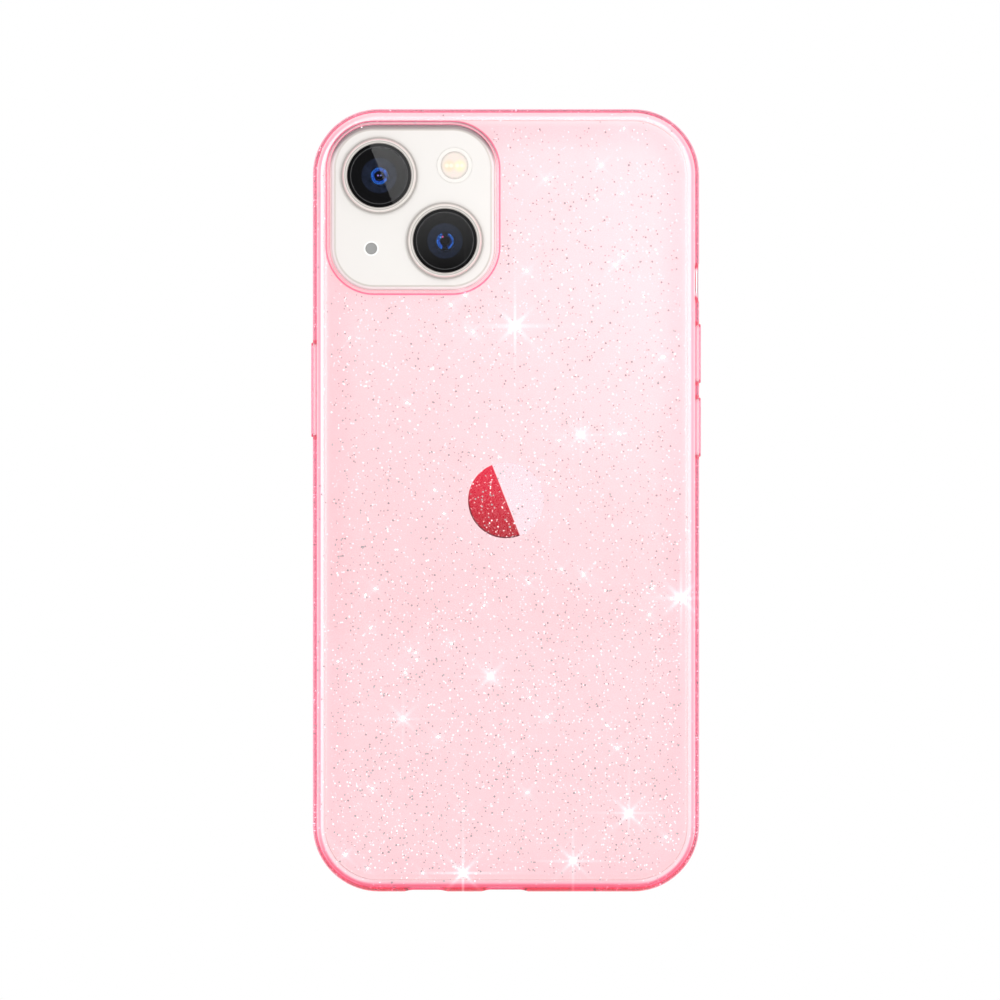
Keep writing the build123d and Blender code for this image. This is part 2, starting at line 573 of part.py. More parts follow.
# Bottom edge: charging port, its contact tongue, screws and sound meshes
with BuildPart() as port_shell:
    with BuildSketch(facing_down(HANDSET_BOTTOM + PORT_LENGTH)):
        SlotOverall(PORT_WIDTH, PORT_DEPTH)
    extrude(amount=PORT_LENGTH - SCREW_RECESS)
    with BuildSketch(facing_down(HANDSET_BOTTOM + PORT_LENGTH - PORT_SKIN)):
        SlotOverall(PORT_WIDTH - 2 * PORT_SKIN, PORT_DEPTH - 2 * PORT_SKIN)
    extrude(amount=PORT_LENGTH, mode=Mode.SUBTRACT)
save(port_shell, "port_shell")

with BuildPart() as port_tongue:
    with BuildSketch(facing_down(HANDSET_BOTTOM + PORT_LENGTH - PORT_SKIN)):
        Rectangle(TONGUE_WIDTH, TONGUE_DEPTH)
    extrude(amount=TONGUE_LENGTH)
save(port_tongue, "port_tongue")

with BuildPart() as bottom_screws:
    with BuildSketch(facing_down(HANDSET_BOTTOM + SCREW_RECESS + SCREW_HEAD_HEIGHT)):
        with Locations(*SCREW_PLACES):
            Circle(SCREW_HEAD_RADIUS)
    extrude(amount=SCREW_HEAD_HEIGHT)
    with BuildSketch(facing_down(HANDSET_BOTTOM + SCREW_RECESS + SCREW_LENGTH)):
        with Locations(*SCREW_PLACES):
            Circle(SCREW_SHANK_RADIUS)
    extrude(amount=SCREW_LENGTH - SCREW_HEAD_HEIGHT)
save(bottom_screws, "bottom_screws")

with BuildPart() as bottom_meshes:
    for x, count in HOLE_ROWS:
        with BuildSketch(facing_down(HANDSET_BOTTOM + FRAME_THICKNESS + MESH_THICKNESS, x)):
            Rectangle(count * SOUND_HOLE_SPACING + MESH_MARGIN, MESH_DEPTH)
        extrude(amount=MESH_THICKNESS)
save(bottom_meshes, "bottom_meshes")
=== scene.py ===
"""A clear pink glitter phone case on a plain handset, seen square on from the back in a white studio."""

from math import cos, pi, radians, sin, tan

import bpy
import numpy as np
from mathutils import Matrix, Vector


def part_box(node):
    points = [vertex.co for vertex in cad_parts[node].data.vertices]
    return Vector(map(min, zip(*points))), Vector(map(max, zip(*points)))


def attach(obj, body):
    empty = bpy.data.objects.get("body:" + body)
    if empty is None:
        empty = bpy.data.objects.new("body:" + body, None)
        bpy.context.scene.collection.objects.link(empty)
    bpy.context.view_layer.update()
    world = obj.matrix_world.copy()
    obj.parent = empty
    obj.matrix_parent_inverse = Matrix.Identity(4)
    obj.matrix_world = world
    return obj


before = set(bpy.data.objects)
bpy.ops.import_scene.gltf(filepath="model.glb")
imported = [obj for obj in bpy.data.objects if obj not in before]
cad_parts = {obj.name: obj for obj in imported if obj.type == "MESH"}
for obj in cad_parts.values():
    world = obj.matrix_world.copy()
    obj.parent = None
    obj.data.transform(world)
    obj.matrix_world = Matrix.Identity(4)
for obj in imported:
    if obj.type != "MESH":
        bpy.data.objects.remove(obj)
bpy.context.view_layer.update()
MM = 0.001

# Case sizes that the flakes and the camera are placed by, in metres
CASE_LOW, CASE_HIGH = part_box("case_shell")
PLATEAU_LOW, PLATEAU_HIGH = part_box("camera_plateau")
EMBLEM_LOW, EMBLEM_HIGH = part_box("back_emblem")
CENTRE_Z = (CASE_LOW.z + CASE_HIGH.z) / 2
HALF_WIDTH, HALF_HEIGHT = CASE_HIGH.x, (CASE_HIGH.z - CASE_LOW.z) / 2
GUARD_Y, RIM_Y = CASE_LOW.y, CASE_HIGH.y
GUARD_RISE = 1.5 * MM
PANEL_Y = GUARD_Y + GUARD_RISE
CASE_CORNER = 12.55 * MM
WALL = 0.9 * MM
LIP_HEIGHT = 0.9 * MM
SHOULDER = 3.4 * MM
GUARD_REACH = 1.15 * MM

# Corner radii and round sizes of the handset's parts, in mm
BACK_GLASS_CORNER = 10.1
PLATEAU_CORNER = 8.1
EMBLEM_RADIUS = 7.2
RING_RADIUS = 7.25
BEZEL_RADIUS = 3.25

# Camera: square on to the back, a long way off, as for a catalogue picture
LENS_MM, SENSOR_MM = 200.0, 36.0
FIELD_WIDTH = 190.04 * MM
CAMERA_DISTANCE = FIELD_WIDTH * LENS_MM / SENSOR_MM
CAMERA_X, CAMERA_Z = -1.14 * MM, CENTRE_Z + 0.06 * MM

WHITE = (1.0, 1.0, 1.0)


# ---------------------------------------------------------------- node helpers


class Graph:
    """A node tree that is built one node at a time, with inputs given by name."""

    def __init__(self, tree):
        self.tree = tree
        tree.nodes.clear()

    def add(self, kind, inputs=None, **settings):
        node = self.tree.nodes.new(kind)
        for key, value in settings.items():
            setattr(node, key, value)
        for key, value in (inputs or {}).items():
            if isinstance(value, bpy.types.NodeSocket):
                self.tree.links.new(value, node.inputs[key])
            else:
                node.inputs[key].default_value = value
        return node

    def maths(self, operation, a, b=0.0):
        return self.add("ShaderNodeMath", {0: a, 1: b}, operation=operation).outputs[0]

    def ramp(self, value, low, high, start=0.0, end=1.0, smooth=True):
        """value going from low to high, as start to end, held at both ends."""
        kind = "SMOOTHSTEP" if smooth else "LINEAR"
        names = {"Value": value, "From Min": low, "From Max": high, "To Min": start, "To Max": end}
        return self.add("ShaderNodeMapRange", names, interpolation_type=kind).outputs[0]

    def mix(self, factor, a, b):
        node = self.add("ShaderNodeMix", {"Factor": factor}, data_type="RGBA")
        for socket, value in ((node.inputs[6], a), (node.inputs[7], b)):
            if isinstance(value, bpy.types.NodeSocket):
                self.tree.links.new(value, socket)
            else:
                socket.default_value = rgba(value)
        return node.outputs[2]

    def place(self):
        """The point being shaded, in the row frame, in metres."""
        return self.add("ShaderNodeTexCoord").outputs["Object"]

    def axes(self):
        return self.add("ShaderNodeSeparateXYZ", {0: self.place()}).outputs

    def length(self, a, b):
        squares = (self.maths("MULTIPLY", value, value) for value in (a, b))
        return self.maths("SQRT", self.maths("ADD", *squares))

    def between(self, value, low, high, soft):
        """1 where value lies between low and high, and 0 from soft beyond them."""
        return self.maths("MULTIPLY", self.ramp(value, low - soft, low), self.ramp(value, high + soft, high))

    def from_middle(self, x_mm, z_mm):
        """How far the point being shaded lies to the right of and above a place on the back, in mm."""
        x, _, z = self.axes()
        right = self.maths("SUBTRACT", self.maths("DIVIDE", x, MM), x_mm)
        above = self.maths("SUBTRACT", self.maths("DIVIDE", z, MM), z_mm)
        return right, above

    def from_axis(self, node):
        """Distance of the point being shaded from the front-to-back axis of a round node, in mm."""
        return self.length(*self.from_middle(*middle_mm(node)))

    def from_edge(self, node, corner_mm):
        """Distance of the point being shaded from the outline of a rounded-square node, inwards, in mm."""
        low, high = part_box(node)
        half = (high - low) / (2 * MM)
        out = []
        for offset, reach in zip(self.from_middle(*middle_mm(node)), (half.x, half.z)):
            out.append(self.maths("SUBTRACT", self.maths("ABSOLUTE", offset), reach - corner_mm))
        round_part = self.length(*(self.maths("MAXIMUM", value, 0.0) for value in out))
        flat_part = self.maths("MINIMUM", self.maths("MAXIMUM", out[0], out[1]), 0.0)
        return self.maths("SUBTRACT", corner_mm, self.maths("ADD", round_part, flat_part))

    def stretched(self, x, y, z):
        return self.add("ShaderNodeMapping", {"Vector": self.place(), "Scale": (x, y, z)}).outputs[0]

    def noise(self, size_mm, detail=3.0, where=None):
        """Soft noise from 0 to 1, whose features are about size_mm across."""
        inputs = {"Vector": where or self.place(), "Scale": 1.0 / (size_mm * MM), "Detail": detail}
        return self.add("ShaderNodeTexNoise", inputs).outputs["Fac"]

    def bump(self, height, depth_mm):
        inputs = {"Height": height, "Distance": depth_mm * MM, "Strength": 1.0}
        return self.add("ShaderNodeBump", inputs).outputs[0]

    def surface(self, socket, volume=None):
        inputs = {"Surface": socket}
        if volume is not None:
            inputs["Volume"] = volume
        self.add("ShaderNodeOutputMaterial", inputs)


def rgba(colour):
    return (*colour, 1.0) if len(colour) == 3 else tuple(colour)


def middle_mm(node):
    """The middle of a node, across and up, in mm."""
    low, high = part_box(node)
    return (low.x + high.x) / (2 * MM), (low.z + high.z) / (2 * MM)


def shade(colour, by):
    """A colour made lighter or darker."""
    return tuple(min(1.0, c * by) for c in colour[:3])


def new_material(name):
    mat = bpy.data.materials.new(name)
    mat.use_nodes = True
    return mat, Graph(mat.node_tree)


def plain_finish(name, colour, roughness, metallic=0.0, grain_mm=0.25, depth_mm=0.002,
                 spread=0.05, coat=0.0, where=None):
    """Moulded, anodised or painted stuff: a little colour drift, uneven roughness and a fine grain."""
    mat, g = new_material(name)
    place = g.stretched(*where) if where else None
    drift = g.noise(9.0, 2.0)
    grain = g.noise(grain_mm, 4.0, place)
    inputs = {
        "Base Color": g.mix(drift, shade(colour, 1 - spread), shade(colour, 1 + spread)),
        "Roughness": g.ramp(grain, 0.3, 0.7, roughness * 0.85, roughness * 1.15, smooth=False),
        "Metallic": metallic,
        "Coat Weight": coat,
        "Coat Roughness": 0.06,
        "Normal": g.bump(grain, depth_mm),
    }
    g.surface(g.add("ShaderNodeBsdfPrincipled", inputs).outputs[0])
    return mat


# ---------------------------------------------------------------- the soft plastic

# How fast red, green and blue light die away in the plastic, per metre
TPU_LOSS = (2.0, 142.0, 98.0)
TPU_IOR = 1.48
TPU_ROUGHNESS = 0.2
# Tints of the light that goes through its surface; the lines along the wall, the highlight on top of the
# camera guard and the crimson at the bottom are painted light and shade
TPU_DEEP = (0.98, 0.42, 0.57)
TPU_WALL = (1.0, 0.94, 0.96)
TPU_LAND_HIGHLIGHT = (1.0, 1.12, 1.09)
TPU_LINE = (1.0, 0.60, 0.72)
TPU_DEEP_LINE = (0.93, 0.22, 0.37)
TPU_BOTTOM_SHADE = (0.90, 0.12, 0.26)
# Lines painted along the wall where its faces bend the light: their near and far side and softness, in mm
# inwards from the outline
WALL_LINE = (0.64, 0.80, 0.08)
OUTLINE_LINE = (0.0, 0.1, 0.08)
INNER_LINE = (1.25, 1.55, 0.15)
INNER_LINE_SHARE = 0.7
# The end faces of the side openings and button covers: how far out from the middle of the case they
# start, how far above and below its middle they go, and the painted glow they give off
SIDE_FACE_X = 35.5 * MM
SIDE_FACE_REACH = 52 * MM
TPU_GATHERED = (0.90, 0.075, 0.16)


def bottom_shade_share(g, inwards):
    """1 along the bottom edge and round the bottom corners, where a deeper colour is painted as shade."""
    _, _, z = g.axes()
    corner = g.maths("MULTIPLY", g.ramp(z, 13.0 * MM, 3.0 * MM, 0.0, 0.8), g.ramp(inwards, 1.7, 1.2))
    return g.maths("MAXIMUM", g.ramp(z, 2.6 * MM, 0.4 * MM), corner)


def side_end_share(g, normal_z):
    """Near 1 on the end faces of the side openings and button covers."""
    x, _, z = g.axes()
    at_wall = g.ramp(g.maths("ABSOLUTE", x), SIDE_FACE_X, SIDE_FACE_X + 0.2 * MM)
    from_centre = g.maths("ABSOLUTE", g.maths("SUBTRACT", z, CENTRE_Z))
    at_side = g.maths("MULTIPLY", at_wall, g.ramp(from_centre, SIDE_FACE_REACH + 3 * MM, SIDE_FACE_REACH))
    return g.maths("MULTIPLY", at_side, g.ramp(g.maths("ABSOLUTE", normal_z), 0.35, 0.7, 0.0, 0.92))


def through_tint(g, steep, facing, outside):
    """The tint of light that goes through the surface: painted lines along the wall, a painted highlight on
    top of the camera guard, deeper on the guard's steep sides, and painted shade along the bottom.
    """
    _, y, z = g.axes()
    inwards = g.from_edge("case_shell", CASE_CORNER / MM)
    below_top = g.ramp(z, 148 * MM, 142 * MM, 0.3, 1.0)
    # painted lines along the wall, where its faces bend the light
    outer_line = g.maths("MAXIMUM", g.between(inwards, *WALL_LINE), g.between(inwards, *OUTLINE_LINE))
    inner_line = g.maths("MULTIPLY", g.between(inwards, *INNER_LINE), below_top)
    lines = g.maths("MAXIMUM", outer_line, g.maths("MULTIPLY", inner_line, INNER_LINE_SHARE))
    lines = g.maths("MULTIPLY", lines, outside)
    tint = g.mix(g.maths("MULTIPLY", g.ramp(inwards, 1.9, 1.6), below_top), WHITE, TPU_WALL)
    # painted highlight: a lighter tint on the flat top of the camera guard
    land = g.maths("MULTIPLY", g.ramp(y, PANEL_Y - 0.8 * MM, PANEL_Y - MM), g.ramp(facing, 0.9, 0.98))
    tint = g.mix(lines, g.mix(land, tint, TPU_LAND_HIGHLIGHT), TPU_LINE)
    # deeper on the steep sides of the guard, where the plastic is thick, and painted shade along the bottom
    # and round its corners
    deepened = g.maths("MAXIMUM", bottom_shade_share(g, inwards), steep)
    tint = g.mix(deepened, tint, g.mix(lines, TPU_DEEP, TPU_DEEP_LINE))
    # painted shade: crimson right along the bottom edge
    return g.mix(g.ramp(z, 1.0 * MM, 0.3 * MM), tint, TPU_BOTTOM_SHADE)


def tpu_material(name, joined=None):
    """Clear pink polyurethane. Its colour comes from the depth of plastic that light goes through, and from
    painted lines, highlight and shade in the tint of the light that goes through its surface.

    joined is given the graph and says where this piece is one with its neighbour, so that it has no
    surface there.
    """
    mat, g = new_material(name)
    _, y, _ = g.axes()
    geometry = g.add("ShaderNodeNewGeometry").outputs
    _, normal_y, normal_z = g.add("ShaderNodeSeparateXYZ", {0: geometry["Normal"]}).outputs[:3]
    facing = g.maths("ABSOLUTE", normal_y)
    outside = g.maths("SUBTRACT", 1.0, geometry["Backfacing"])
    # the steep sides of the camera guard
    guard = g.ramp(y, PANEL_Y - 0.1 * MM, PANEL_Y - 0.4 * MM)
    steep = g.maths("MULTIPLY", guard, g.ramp(facing, 0.8, 0.4))
    pores = g.noise(0.12, 3.0)
    relief = g.bump(g.maths("ADD", g.noise(1.1, 2.0), g.maths("MULTIPLY", pores, 0.15)), 0.003)
    rough = g.ramp(pores, 0.35, 0.65, TPU_ROUGHNESS * 0.8, TPU_ROUGHNESS * 1.2, smooth=False)
    gloss = g.add("ShaderNodeBsdfGlossy", {
        "Color": g.mix(steep, WHITE, TPU_DEEP),
        "Roughness": g.maths("MULTIPLY", rough, outside),
        "Normal": relief,
    })
    tint = through_tint(g, steep, facing, outside)
    clear = g.add("ShaderNodeBsdfRefraction", {"Color": tint, "Roughness": 0.0, "IOR": TPU_IOR})
    share = g.add("ShaderNodeFresnel", {"IOR": TPU_IOR}).outputs[0]
    body = g.add("ShaderNodeMixShader", {0: share, 1: clear.outputs[0], 2: gloss.outputs[0]})
    # the end faces of the side openings and button covers glow: painted light, for light gathered from deep
    # in the wall
    gathered = g.add("ShaderNodeEmission", {"Color": rgba(TPU_GATHERED)})
    ends = side_end_share(g, normal_z)
    body = g.add("ShaderNodeMixShader", {0: ends, 1: body.outputs[0], 2: gathered.outputs[0]})
    surface = open_to_lamps(g, body.outputs[0], joined(g) if joined else None)
    loss = max(TPU_LOSS)
    absorbed = tuple(1.0 - value / loss for value in TPU_LOSS)
    volume = g.add("ShaderNodeVolumeAbsorption", {"Color": rgba(absorbed), "Density": loss})
    g.surface(surface, volume.outputs[0])
    return mat


def lip_joint(g):
    """The lip's outer side, which is one with the wall."""
    wall = WALL / MM
    return g.between(g.from_edge("case_shell", CASE_CORNER / MM), wall - 0.02, wall + 0.02, 0.01)


def web_joint(g):
    """The narrow sides of a web, which are one with the shell and the button cover."""
    normal = g.add("ShaderNodeNewGeometry").outputs["Normal"]
    facing = g.maths("ABSOLUTE", g.add("ShaderNodeSeparateXYZ", {0: normal}).outputs[0])
    return g.maths("LESS_THAN", facing, 0.5)


def open_to_lamps(g, body, joined=None):
    """A clear surface that lets the light of lamps and of matt surfaces straight through.

    It isn't there at all where joined is 1.
    """
    path = g.add("ShaderNodeLightPath").outputs
    soft = g.maths("MAXIMUM", path["Is Shadow Ray"], path["Is Diffuse Ray"])
    if joined is not None:
        soft = g.maths("MAXIMUM", soft, joined)
    through = g.add("ShaderNodeBsdfTransparent")
    return g.add("ShaderNodeMixShader", {0: soft, 1: body, 2: through.outputs[0]}).outputs[0]


# ---------------------------------------------------------------- glitter

FLAKE_THICKNESS = 0.02 * MM
# How far a flake leans from the surface above it, as the spread of its normal
FLAKE_TILT = 0.12
RIM_FLAKE_DEPTH = 0.35 * MM
SHARE_ON_WALL = 0.6
# Round an opening in the wall no flake lies within this band of the outline and this far past its ends
OPENING_BAND = 1.6 * MM
OPENING_MARGIN = 0.8 * MM
PORT_MARGIN = 1.4 * MM


def in_rounded_box(x, z, half_x, half_z, corner):
    """Which points lie inside a rounded rectangle that is centred on 0, 0."""
    out_x = np.maximum(np.abs(x) - (half_x - corner), 0)
    out_z = np.maximum(np.abs(z) - (half_z - corner), 0)
    return np.hypot(out_x, out_z) < corner


def panel_places(random, count, edge, shallow, deep):
    """Points spread over the flat back, shallow to deep below it and clear of the camera opening."""
    tries = count * 3
    x = random.uniform(-HALF_WIDTH, HALF_WIDTH, tries)
    z = random.uniform(-HALF_HEIGHT, HALF_HEIGHT, tries)
    margin = SHOULDER + edge
    kept = in_rounded_box(x, z, HALF_WIDTH - margin, HALF_HEIGHT - margin, CASE_CORNER - margin)
    plateau = (PLATEAU_LOW + PLATEAU_HIGH) / 2
    half = (PLATEAU_HIGH - PLATEAU_LOW) / 2
    reach = GUARD_REACH + edge
    corner = PLATEAU_CORNER * MM + reach
    kept &= ~in_rounded_box(x - plateau.x, z + CENTRE_Z - plateau.z, half.x + reach, half.z + reach, corner)
    x, z = x[kept][:count], z[kept][:count]
    depth = random.uniform(shallow, deep, len(x))
    places = np.stack([x, PANEL_Y + depth, z + CENTRE_Z], 1)
    return places, np.tile([0.0, -1.0, 0.0], (len(x), 1))


def rim_places(random, count):
    """Points inside the rounded shoulder and the side walls, below the outer surface, with their normals."""
    straight_x, straight_z = HALF_WIDTH - CASE_CORNER, HALF_HEIGHT - CASE_CORNER
    arc = pi / 2 * CASE_CORNER
    quarter = straight_x + arc + straight_z
    along = random.uniform(0, quarter, count)
    turn = np.clip((along - straight_x) / arc, 0, 1) * pi / 2
    out_x, out_z = np.sin(turn), np.cos(turn)
    base_x = np.minimum(along, straight_x)
    base_z = np.clip(quarter - along, 0, straight_z)
    lean = random.uniform(0.05, 1.0, count) * pi / 2
    is_wall = random.uniform(size=count) < SHARE_ON_WALL
    lean[is_wall] = pi / 2
    bend = SHOULDER - RIM_FLAKE_DEPTH
    depth = np.where(
        is_wall,
        random.uniform(PANEL_Y + SHOULDER, RIM_Y - LIP_HEIGHT, count),
        PANEL_Y + SHOULDER - bend * np.cos(lean),
    )
    reach = CASE_CORNER - SHOULDER + bend * np.sin(lean)
    side_x, side_z = random.choice([-1, 1], count), random.choice([-1, 1], count)
    places = np.stack(
        [side_x * (base_x + out_x * reach), depth, CENTRE_Z + side_z * (base_z + out_z * reach)], 1
    )
    normals = np.stack(
        [side_x * out_x * np.sin(lean), -np.cos(lean), side_z * out_z * np.sin(lean)], 1
    )
    return places, normals


def in_side_opening(places):
    """Which points fall in a side opening or a button cover, where there is no shell plastic."""
    blocked = np.zeros(len(places), bool)
    for node in ("volume_up_web", "volume_down_web", "side_button_web", "ring_switch"):
        low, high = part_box(node)
        near = places[:, 0] * np.sign(low.x + high.x) > HALF_WIDTH - OPENING_BAND
        near &= (places[:, 2] > low.z - OPENING_MARGIN) & (places[:, 2] < high.z + OPENING_MARGIN)
        blocked |= near
    for node, reach in (("port_shell", PORT_MARGIN), ("bottom_meshes", OPENING_MARGIN)):
        low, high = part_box(node)
        near = places[:, 2] < CASE_LOW.z + OPENING_BAND
        near &= (places[:, 0] > low.x - reach) & (places[:, 0] < high.x + reach)
        blocked |= near
    return blocked


def unit(vectors):
    return vectors / np.linalg.norm(vectors, axis=1, keepdims=True)


def flakes(name, random, places, normals, radii, sides, mat):
    """One piece made of many thin flat flakes, each a closed prism with the given number of sides."""
    count = len(places)
    facing = unit(normals + random.normal(0, FLAKE_TILT, (count, 3)))
    across = unit(np.cross(facing, random.normal(size=(count, 3))))
    up = np.cross(facing, across)
    angle = 2 * pi * np.arange(sides) / sides
    reach = radii[:, None] * random.uniform(0.85, 1.1, (count, sides))
    outline = places[:, None] + (np.cos(angle) * reach)[..., None] * across[:, None]
    outline = outline + (np.sin(angle) * reach)[..., None] * up[:, None]
    step = FLAKE_THICKNESS / 2 * facing[:, None]
    points = np.concatenate([outline - step, outline + step], 1).reshape(-1, 3)
    ring = np.arange(sides)
    shape = [list(ring[::-1]), list(ring + sides)]
    shape += [[k, (k + 1) % sides, (k + 1) % sides + sides, k + sides] for k in range(sides)]
    starts = range(0, 2 * sides * count, 2 * sides)
    faces = [[corner + start for corner in face] for start in starts for face in shape]
    mesh = bpy.data.meshes.new(name)
    mesh.from_pydata(points.tolist(), [], faces)
    mesh.materials.append(mat)
    piece = bpy.data.objects.new(name, mesh)
    bpy.context.scene.collection.objects.link(piece)
    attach(piece, "case")


def flake_material(name, dark, light, roughness, glow):
    """Foil flakes, each with its own tone; their glow is a painted glint."""
    mat, g = new_material(name)
    luck = g.add("ShaderNodeNewGeometry").outputs["Random Per Island"]
    inputs = {
        "Base Color": g.mix(luck, dark, light),
        "Metallic": 0.0,
        "Roughness": g.ramp(g.noise(0.15), 0.3, 0.7, roughness * 0.7, roughness * 1.3, smooth=False),
        "Emission Color": rgba((1.0, 0.97, 0.97)),
        "Emission Strength": glow,
    }
    g.surface(g.add("ShaderNodeBsdfPrincipled", inputs).outputs[0])
    return mat


# Glitter: darkest and lightest tone, glow (a painted glint), how many on the back and in the rims, radii and
# depths in mm, and sides
GLITTER = {
    "grey": ((0.30, 0.30, 0.30), (0.56, 0.56, 0.56), 0.0, 4500, 300, (0.11, 0.22), (0.03, 0.08), 6),
    "white": ((0.90, 0.88, 0.88), WHITE, 0.7, 5200, 1100, (0.07, 0.15), (0.06, 0.25), 6),
    "dust": ((0.85, 0.80, 0.82), WHITE, 0.3, 7000, 1500, (0.04, 0.085), (0.05, 0.40), 5),
}
GLITTER_ROUGHNESS = 0.4
# Flakes that flash, their glint painted as a glow: places from the middle of the back in mm, and how bright
FLASHES = ((33.0, -18.5, 150.0), (1.7, 33.0, 110.0), (12.7, -68.2, 110.0), (-8.2, -70.6, 130.0),
           (23.2, -59.3, 100.0), (-3.0, -33.3, 75.0), (-19.5, -41.3, 50.0), (14.2, 12.5, 45.0))
FLASH_RADIUS = 0.16 * MM
FLASH_DEPTH = 0.1 * MM
FLASH_SIDES = 6
FLASH_ROUGHNESS = 0.3
# Small flashes at random places: how many are tried, how bright, and their radii in mm
SMALL_FLASHES = 75
SMALL_FLASH_GLOW = 70.0
SMALL_FLASH_RADII = (0.06, 0.10)


def kept_by_height(random, places, at_bottom):
    """A random share of the places: at_bottom of them at the bottom of the case, and fewer higher up."""
    return random.uniform(size=len(places)) < at_bottom - 0.55 * places[:, 2] / (2 * CENTRE_Z)


def add_glitter():
    """Glitter all over the case, denser towards its bottom."""
    random = np.random.default_rng(7)
    for kind, (dark, light, glow, on_back, on_rim, size, depth, sides) in GLITTER.items():
        mat = flake_material(f"flake_{kind}", dark, light, GLITTER_ROUGHNESS, glow)
        flat = panel_places(random, on_back, size[1] * MM, depth[0] * MM, depth[1] * MM)
        bent = rim_places(random, on_rim)
        places, normals = (np.concatenate(pair) for pair in zip(flat, bent))
        kept = kept_by_height(random, places, 1.0) & ~in_side_opening(places)
        places, normals = places[kept], normals[kept]
        radii = (size[0] + (size[1] - size[0]) * random.uniform(size=len(places)) ** 2) * MM
        flakes(f"glitter_{kind}", random, places, normals, radii, sides, mat)


def add_flashes():
    """Flakes that flash, as painted glints that glow: some at set places, each as bright as given, and small
    ones at random places.
    """
    random = np.random.default_rng(11)
    for number, (x, z, glow) in enumerate(FLASHES):
        mat = flake_material(f"flake_flash_{number}", WHITE, WHITE, FLASH_ROUGHNESS, glow)
        place = np.array([[x * MM, PANEL_Y + FLASH_DEPTH, z * MM + CENTRE_Z]])
        outwards = np.array([[0, -1.0, 0]])
        radius = np.array([FLASH_RADIUS])
        flakes(f"glitter_flash_{number}", random, place, outwards, radius, FLASH_SIDES, mat)
    mat = flake_material("flake_flash_small", WHITE, WHITE, FLASH_ROUGHNESS, SMALL_FLASH_GLOW)
    places, normals = panel_places(random, SMALL_FLASHES, 0.2 * MM, 0.08 * MM, 0.2 * MM)
    kept = kept_by_height(random, places, 0.9)
    places, normals = places[kept], normals[kept]
    radii = random.uniform(*SMALL_FLASH_RADII, len(places)) * MM
    flakes("glitter_flash_small", random, places, normals, radii, FLASH_SIDES, mat)


# ---------------------------------------------------------------- the handset's finishes


def assign(mat, *nodes):
    for node in nodes:
        mesh_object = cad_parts[node]
        if not mesh_object.material_slots:
            mesh_object.data.materials.append(mat)
        for slot in mesh_object.material_slots:
            slot.link = "OBJECT"
            slot.material = mat


def mesh_material(name, colour, pitch_mm):
    """Woven wire: crossed sets of rounded wires."""
    mat, g = new_material(name)
    turn = pi / (pitch_mm * MM)
    waves = [g.maths("ABSOLUTE", g.maths("SINE", g.maths("MULTIPLY", part, turn))) for part in g.axes()]
    weave = g.maths("MAXIMUM", waves[0], g.maths("MAXIMUM", waves[1], waves[2]))
    inputs = {
        "Base Color": g.mix(g.ramp(weave, 0.7, 1.0), shade(colour, 0.8), colour),
        "Metallic": 0.4,
        "Roughness": g.ramp(g.noise(0.1), 0.3, 0.7, 0.35, 0.5),
        "Normal": g.bump(weave, 0.01),
    }
    g.surface(g.add("ShaderNodeBsdfPrincipled", inputs).outputs[0])
    return mat


def back_glass_material(name, node):
    """Warm white glass, with painted light on it: lighter towards the upper right, and a pink glow near its
    edges for light coloured by the wall around it.
    """
    mat, g = new_material(name)
    inwards = g.from_edge(node, BACK_GLASS_CORNER)
    drift = g.noise(14.0, 2.0)
    right, above_middle = g.from_middle(0.0, CENTRE_Z / MM)
    # painted light: the glass is lighter towards the upper right
    bright = g.ramp(g.maths("ADD", g.maths("MULTIPLY", right, 0.35), above_middle), -30.0, 60.0)
    warm = g.mix(drift, (0.925, 0.882, 0.822), (0.94, 0.895, 0.832))
    warm = g.mix(bright, warm, (0.975, 0.96, 0.89))
    # painted pink glow near the edges, for light coloured by the wall around it
    painted_pink_glow = g.ramp(inwards, 7.0, 0.5, 0.0, 0.75)
    colour = g.mix(painted_pink_glow, warm, (0.95, 0.81, 0.77))
    # the narrow gap above the plateau gets little light
    _, above = g.from_middle(*middle_mm("camera_plateau"))
    near_plateau = g.ramp(g.from_edge("camera_plateau", PLATEAU_CORNER), -0.7, -0.4)
    gap = g.maths("MULTIPLY", near_plateau, g.ramp(above, 6.0, 13.0))
    colour = g.mix(gap, colour, (0.24, 0.225, 0.22))
    inputs = {
        "Base Color": colour,
        "Roughness": g.ramp(g.noise(0.3), 0.3, 0.7, 0.3, 0.4),
        "Coat Weight": 0.3,
        "Coat Roughness": 0.05,
        "Normal": g.bump(drift, 0.002),
    }
    g.surface(g.add("ShaderNodeBsdfPrincipled", inputs).outputs[0])
    return mat


# Lines on the plateau in mm, as near side, far side and softness: round the microphone from its axis, and
# inwards from the outline, a painted shade line and a painted highlight line on its rounded edge
MICROPHONE_HALO = (1.1, 1.35, 0.12)
TURN_SHADE_LINE = (0.66, 0.78, 0.2)
EDGE_HIGHLIGHT_LINE = (0.22, 0.42, 0.12)


